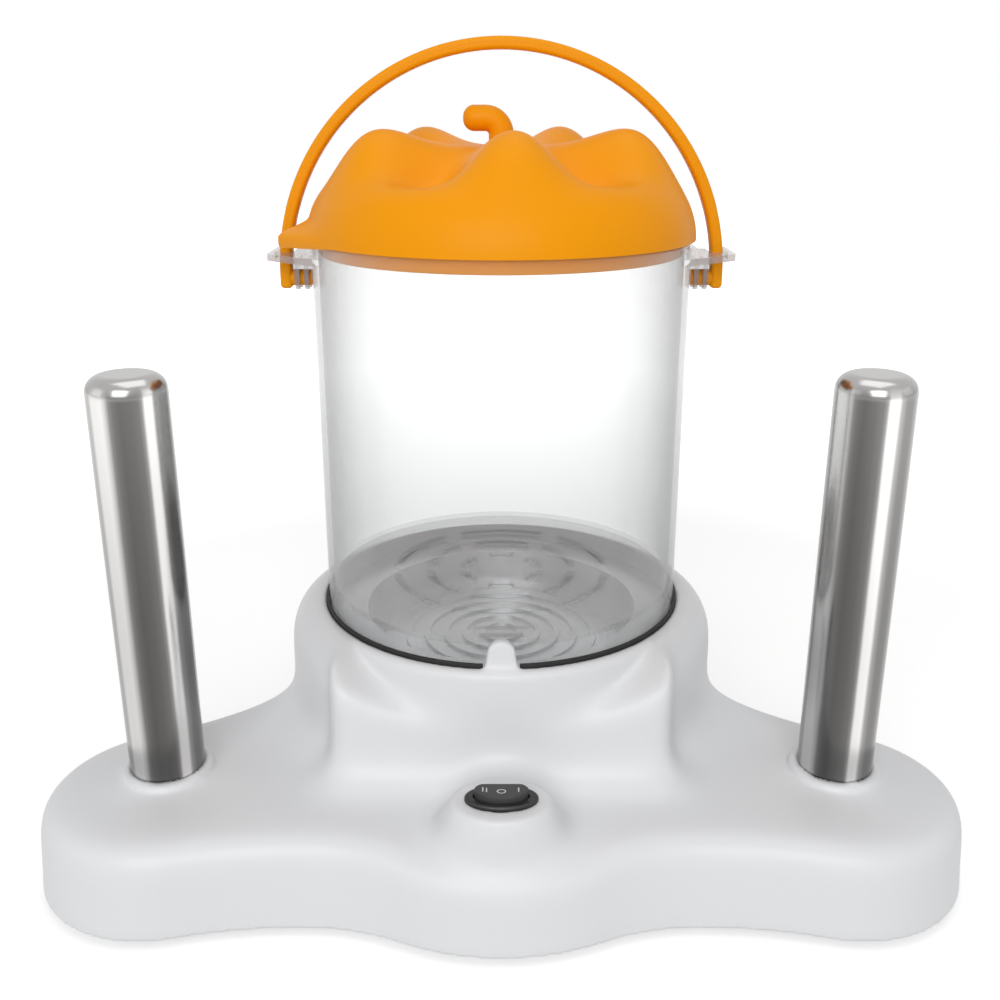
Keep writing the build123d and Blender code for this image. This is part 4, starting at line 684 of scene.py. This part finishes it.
def clear_plastic(name, colour, edge_shade, face_on, edge_on):
    """Clear plastic: nearly nothing face on, a grey skin edge on whose grey is painted shade, and denser in
    the thick ears, whose tint is partly a painted reflection.
    """
    material, board, shader = open_paint(name)
    at = place_on(board)
    shader.inputs["IOR"].default_value = STYRENE_IOR
    board.wire(CLEAR_ROUGH + CLEAR_SWING * clouds(board, at, CLEAR_MOTTLE), shader.inputs["Roughness"])
    waves = clouds(board, at, CLEAR_WAVES, detail=1.0)
    board.wire(relief(board, waves, CLEAR_WAVE_DEPTH), shader.inputs["Normal"])
    facing = board.lay("ShaderNodeLayerWeight", wires={"Blend": 0.5}, out="Facing")
    across = board.lay("ShaderNodeSeparateXYZ", wires={0: at})
    deep = board.beside(across, "Y") - DRUM_Y
    out = (((across * across + deep * deep) ** 0.5 - EAR_FROM) / EAR_FADE).limit()
    ear = out * ((board.beside(across, "Z") - EAR_LOW) / EAR_LOW_FADE).limit()
    # Painted shade: the colour turns grey as the wall is seen edge on.
    pale = between(board, facing ** EDGE_SHADE_POWER, colour, edge_shade)
    # The ears get a denser pinkish grey: their thicker plastic, tinted with a painted reflection of the
    # orange lid and bail.
    board.wire(between(board, ear, pale, EAR_TINT_AND_REFLECTION), shader.inputs["Base Color"])
    share = (face_on + (edge_on - face_on) * facing ** EDGE_SKIN_POWER).limit()
    share = share.maths("MAXIMUM", ear * EAR_SHARE)
    skin = shader.outputs["BSDF"]
    finish = skin.links[0].to_socket
    open_air = board.lay("ShaderNodeBsdfTransparent", wires={"Color": OPEN_TINT})
    mixed = board.lay("ShaderNodeMixShader", wires={0: share, 1: open_air, 2: Value(board, skin)})
    board.wire(mixed, finish)
    return material


dress(clear_plastic("container_clear", CLEAR, CLEAR_EDGE_SHADE, 0.05, 0.75), "container")


# ---- Lid
# Pumpkin-shaped lid of orange polypropylene: five lobes swell from a round dome, and the rim
# flares into a flat tab over the left ear. A lip under the rim centres it in the container.
LID_ORANGE = (0.855, 0.312, 0.001)
LID_SIZES = {
    "Rim Radius": 0.0743,
    "Rim Height": 0.2341,
    "Rise": 0.0334,
    "Fullness": 3.6,
    "Lobes": 5.0,
    "Lobe Turn": radians(-85.0),
    "Swell": 0.0100,
    "Inner Power": 3.6,
    "Outer Power": 3.3,
    "Valley Power": 2.2,
    "Tab Reach": 0.0835,
    "Tab Start": radians(-140.8),
    "Tab Start Fade": radians(0.5),
    "Tab End": radians(-171.7),
    "Tab End Fade": radians(1.4),
    "Tab Lift": 0.0009,
    "Tab Drop": 0.0024,
}
LIP_OUTER = 0.0699
LIP_INNER = 0.0675
LIP_DEPTH = 0.0055
LIP_ROUND = 0.0004
LID_WALL = 0.0024
RIM_STEP = 0.0731
RIM_ROUND = 0.0003
RIM_DROP = 0.0001
SWELL_POWER = 4.0
LEAST_COSINE = 0.2
SAME_POINT = 0.00002
SHARP_EDGE = radians(45)
CROWN_TURNS = (0.0, 76.0, 1.5)
RIM_TURNS = (76.0, 90.01, 0.7)
TAB_TURNS = (79.0, 90.0)
INSIDE_TURNS = (72.0, -0.01, -3.0)
COLUMN_TURNS = ((-180.0, -173.0, 1.0), (-173.0, -138.0, 0.35), (-138.0, 180.0, 1.5))
LID_FIELDS = ("turn", "inset", "flat_radius", "flat_height", "flatness", "tab_out", "tab_down")


def lid_rows():
    """Rows from the crown over the rim and back inside: turn, inset, flat radius, height, tab shares."""
    rows = [(radians(t), 0.0, 0.0, 0.0, 0.0, 0.0, 0.0) for t in np.arange(*CROWN_TURNS)]
    for t in np.arange(*RIM_TURNS):
        out = float(ramp(t, *TAB_TURNS))
        down = out * LID_SIZES["Tab Lift"] / LID_SIZES["Tab Drop"]
        rows.append((radians(min(t, 90.0)), 0.0, 0.0, 0.0, 0.0, out, down))
    rim = LID_SIZES["Rim Radius"]
    under = [
        (rim, 0.0, 1.0, -0.6),
        (rim - RIM_ROUND, -RIM_DROP, 1.0, -1.0),
        (RIM_STEP, -RIM_DROP, 0.0, -1.0),
        (RIM_STEP, 0.0, 0.0, 0.0),
        (LIP_OUTER, 0.0, 0.0, 0.0),
        (LIP_OUTER, LIP_ROUND - LIP_DEPTH, 0.0, 0.0),
        (LIP_OUTER - LIP_ROUND, -LIP_DEPTH, 0.0, 0.0),
        (LIP_INNER + LIP_ROUND, -LIP_DEPTH, 0.0, 0.0),
        (LIP_INNER, LIP_ROUND - LIP_DEPTH, 0.0, 0.0),
        (LIP_INNER, LID_WALL, 0.0, 0.0),
    ]
    rows += [(0.0, 0.0, radius, height, 1.0, out, down) for radius, height, out, down in under]
    for t in np.arange(*INSIDE_TURNS):
        rows.append((radians(t), LID_WALL, 0.0, 0.0, 0.0, 0.0, 0.0))
    return rows


def lid_blank():
    """Grid of the lid's rows and columns, with each point's place in the rule as attributes."""
    rows = lid_rows()
    columns = np.concatenate([np.arange(*turns) for turns in COLUMN_TURNS])
    count = len(columns)
    points = [(i, j, 0.0) for i in range(len(rows)) for j in range(count)]
    faces = []
    for i in range(len(rows) - 1):
        for j in range(count):
            k = (j + 1) % count
            faces.append((i * count + j, (i + 1) * count + j, (i + 1) * count + k, i * count + k))
    mesh = bpy.data.meshes.new("lid_shell")
    mesh.from_pydata(points, [], faces)
    values = np.repeat(np.array(rows), count, axis=0)
    fields = dict(zip(LID_FIELDS, values.T))
    fields["around"] = np.tile(np.radians(columns), len(rows))
    for name, field in fields.items():
        mesh.attributes.new(name, "FLOAT", "POINT").data.foreach_set("value", field.astype(np.float32))
    return mesh


def open_shape(name, sizes):
    """An empty shape tree with named inputs for its sizes, and its board."""
    tree = bpy.data.node_groups.new(name, "GeometryNodeTree")
    tree.interface.new_socket("Geometry", in_out="INPUT", socket_type="NodeSocketGeometry")
    for key in sizes:
        tree.interface.new_socket(key, in_out="INPUT", socket_type="NodeSocketFloat")
    tree.interface.new_socket("Material", in_out="INPUT", socket_type="NodeSocketMaterial")
    tree.interface.new_socket("Geometry", in_out="OUTPUT", socket_type="NodeSocketGeometry")
    board = Board(tree)
    entry = tree.nodes.new("NodeGroupInput")
    given = {socket.name: Value(board, socket) for socket in entry.outputs if socket.name}
    return tree, board, given


def close_shape(board, given, geometry):
    """Ends a shape tree: instances made real, the finish put on, and the result handed out."""
    real = board.lay("GeometryNodeRealizeInstances", wires={0: geometry})
    done = board.lay("GeometryNodeSetMaterial", wires={"Geometry": real, "Material": given["Material"]})
    board.lay("NodeGroupOutput", wires={"Geometry": done})


def grown(name, blank, tree, sizes, material):
    """The mesh that a shape tree makes from a blank one, with its inputs set."""
    holder = bpy.data.objects.new(name, blank)
    bpy.context.scene.collection.objects.link(holder)
    modifier = holder.modifiers.new("shape", "NODES")
    modifier.node_group = tree
    sockets = {item.name: item.identifier for item in tree.interface.items_tree if item.in_out == "INPUT"}
    for key, value in sizes.items():
        modifier[sockets[key]] = value
    modifier[sockets["Material"]] = material
    mesh = plain_mesh(holder, name)
    bpy.data.objects.remove(holder)
    return mesh


tree, board, given = open_shape("lobed_dome", LID_SIZES)
read = {
    name: board.lay("GeometryNodeInputNamedAttribute", {"data_type": "FLOAT"}, {"Name": name})
    for name in (*LID_FIELDS, "around")
}
share = read["turn"].maths("SINE").limit()
bulge = share ** SWELL_POWER
crest = given["Inner Power"] / (given["Inner Power"] + SWELL_POWER * given["Outer Power"])
wave = (given["Lobes"] * (read["around"] - given["Lobe Turn"])).maths("COSINE")
fading = given["Outer Power"] + given["Valley Power"] * (0.5 - 0.5 * wave)
swell = (bulge / crest) ** (given["Inner Power"] / SWELL_POWER)
swell = swell * ((1.0 - bulge).limit() / (1.0 - crest)) ** fading
dome_height = (given["Rise"] - read["inset"]) * (1.0 - share ** given["Fullness"]).limit() ** 0.5
dome_height = dome_height + given["Swell"] * swell * wave
dome_reach = (given["Rim Radius"] - read["inset"]) * share
from_start = (read["around"] - given["Tab Start"]).maths("COSINE")
leftward = 0.0 - read["around"].maths("COSINE")
along = given["Rim Radius"] / from_start.maths("MAXIMUM", LEAST_COSINE)
side_limit = given["Tab Reach"] / leftward.maths("MAXIMUM", LEAST_COSINE)
edge = along.maths("MINIMUM", side_limit)
after = ((given["Tab Start"] - read["around"]) / given["Tab Start Fade"]).limit()
before = ((read["around"] - given["Tab End"]) / given["Tab End Fade"]).limit()
on_tab = after * before
flare = (edge - given["Rim Radius"]).maths("MAXIMUM", 0.0) * on_tab
tab_share = (flare / (given["Tab Reach"] - given["Rim Radius"])).limit()
round_part = 1.0 - read["flatness"]
reach = dome_reach * round_part + read["flat_radius"] * read["flatness"] + flare * read["tab_out"]
height = dome_height * round_part + read["flat_height"] * read["flatness"]
height = height + given["Tab Drop"] * read["tab_down"] * tab_share.maths("POWER", 0.5) + given["Rim Height"]
place = board.lay(
    "ShaderNodeCombineXYZ",
    wires={
        0: reach * read["around"].maths("COSINE"),
        1: reach * read["around"].maths("SINE") + DRUM_Y,
        2: height,
    },
)
moved = board.lay("GeometryNodeSetPosition", wires={"Geometry": given["Geometry"], "Position": place})
merged = board.lay("GeometryNodeMergeByDistance", wires={"Geometry": moved, "Distance": SAME_POINT})
close_shape(board, given, merged)
lid_orange = moulded("lid_orange", LID_ORANGE, 0.42, grain=2600.0, depth=0.000001, spread=0.03, gloss=0.12)
lid_mesh = grown("lid_shell", lid_blank(), tree, LID_SIZES, lid_orange)
bm = bmesh.new()
bm.from_mesh(lid_mesh)
bmesh.ops.recalc_face_normals(bm, faces=bm.faces)
bm.to_mesh(lid_mesh)
bm.free()
lid_mesh.shade_smooth()
lid_mesh.set_sharp_from_angle(angle=SHARP_EDGE)
lid_piece = put("lid_shell", lid_mesh, lid_orange, "lid")
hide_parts("lid")


# ---- Stalk
# Curled stalk moulded in the lid's orange plastic, with a rounded end and a short flare where it
# stands on the lid. One screw from inside holds it.
dress(lid_orange, "lid_stem")


# ---- Bail
# Half-round carrying handle of orange polypropylene. Its short straight legs end in inward pins
# that snap into the container's clips.
dress(lid_orange, "bail_handle")
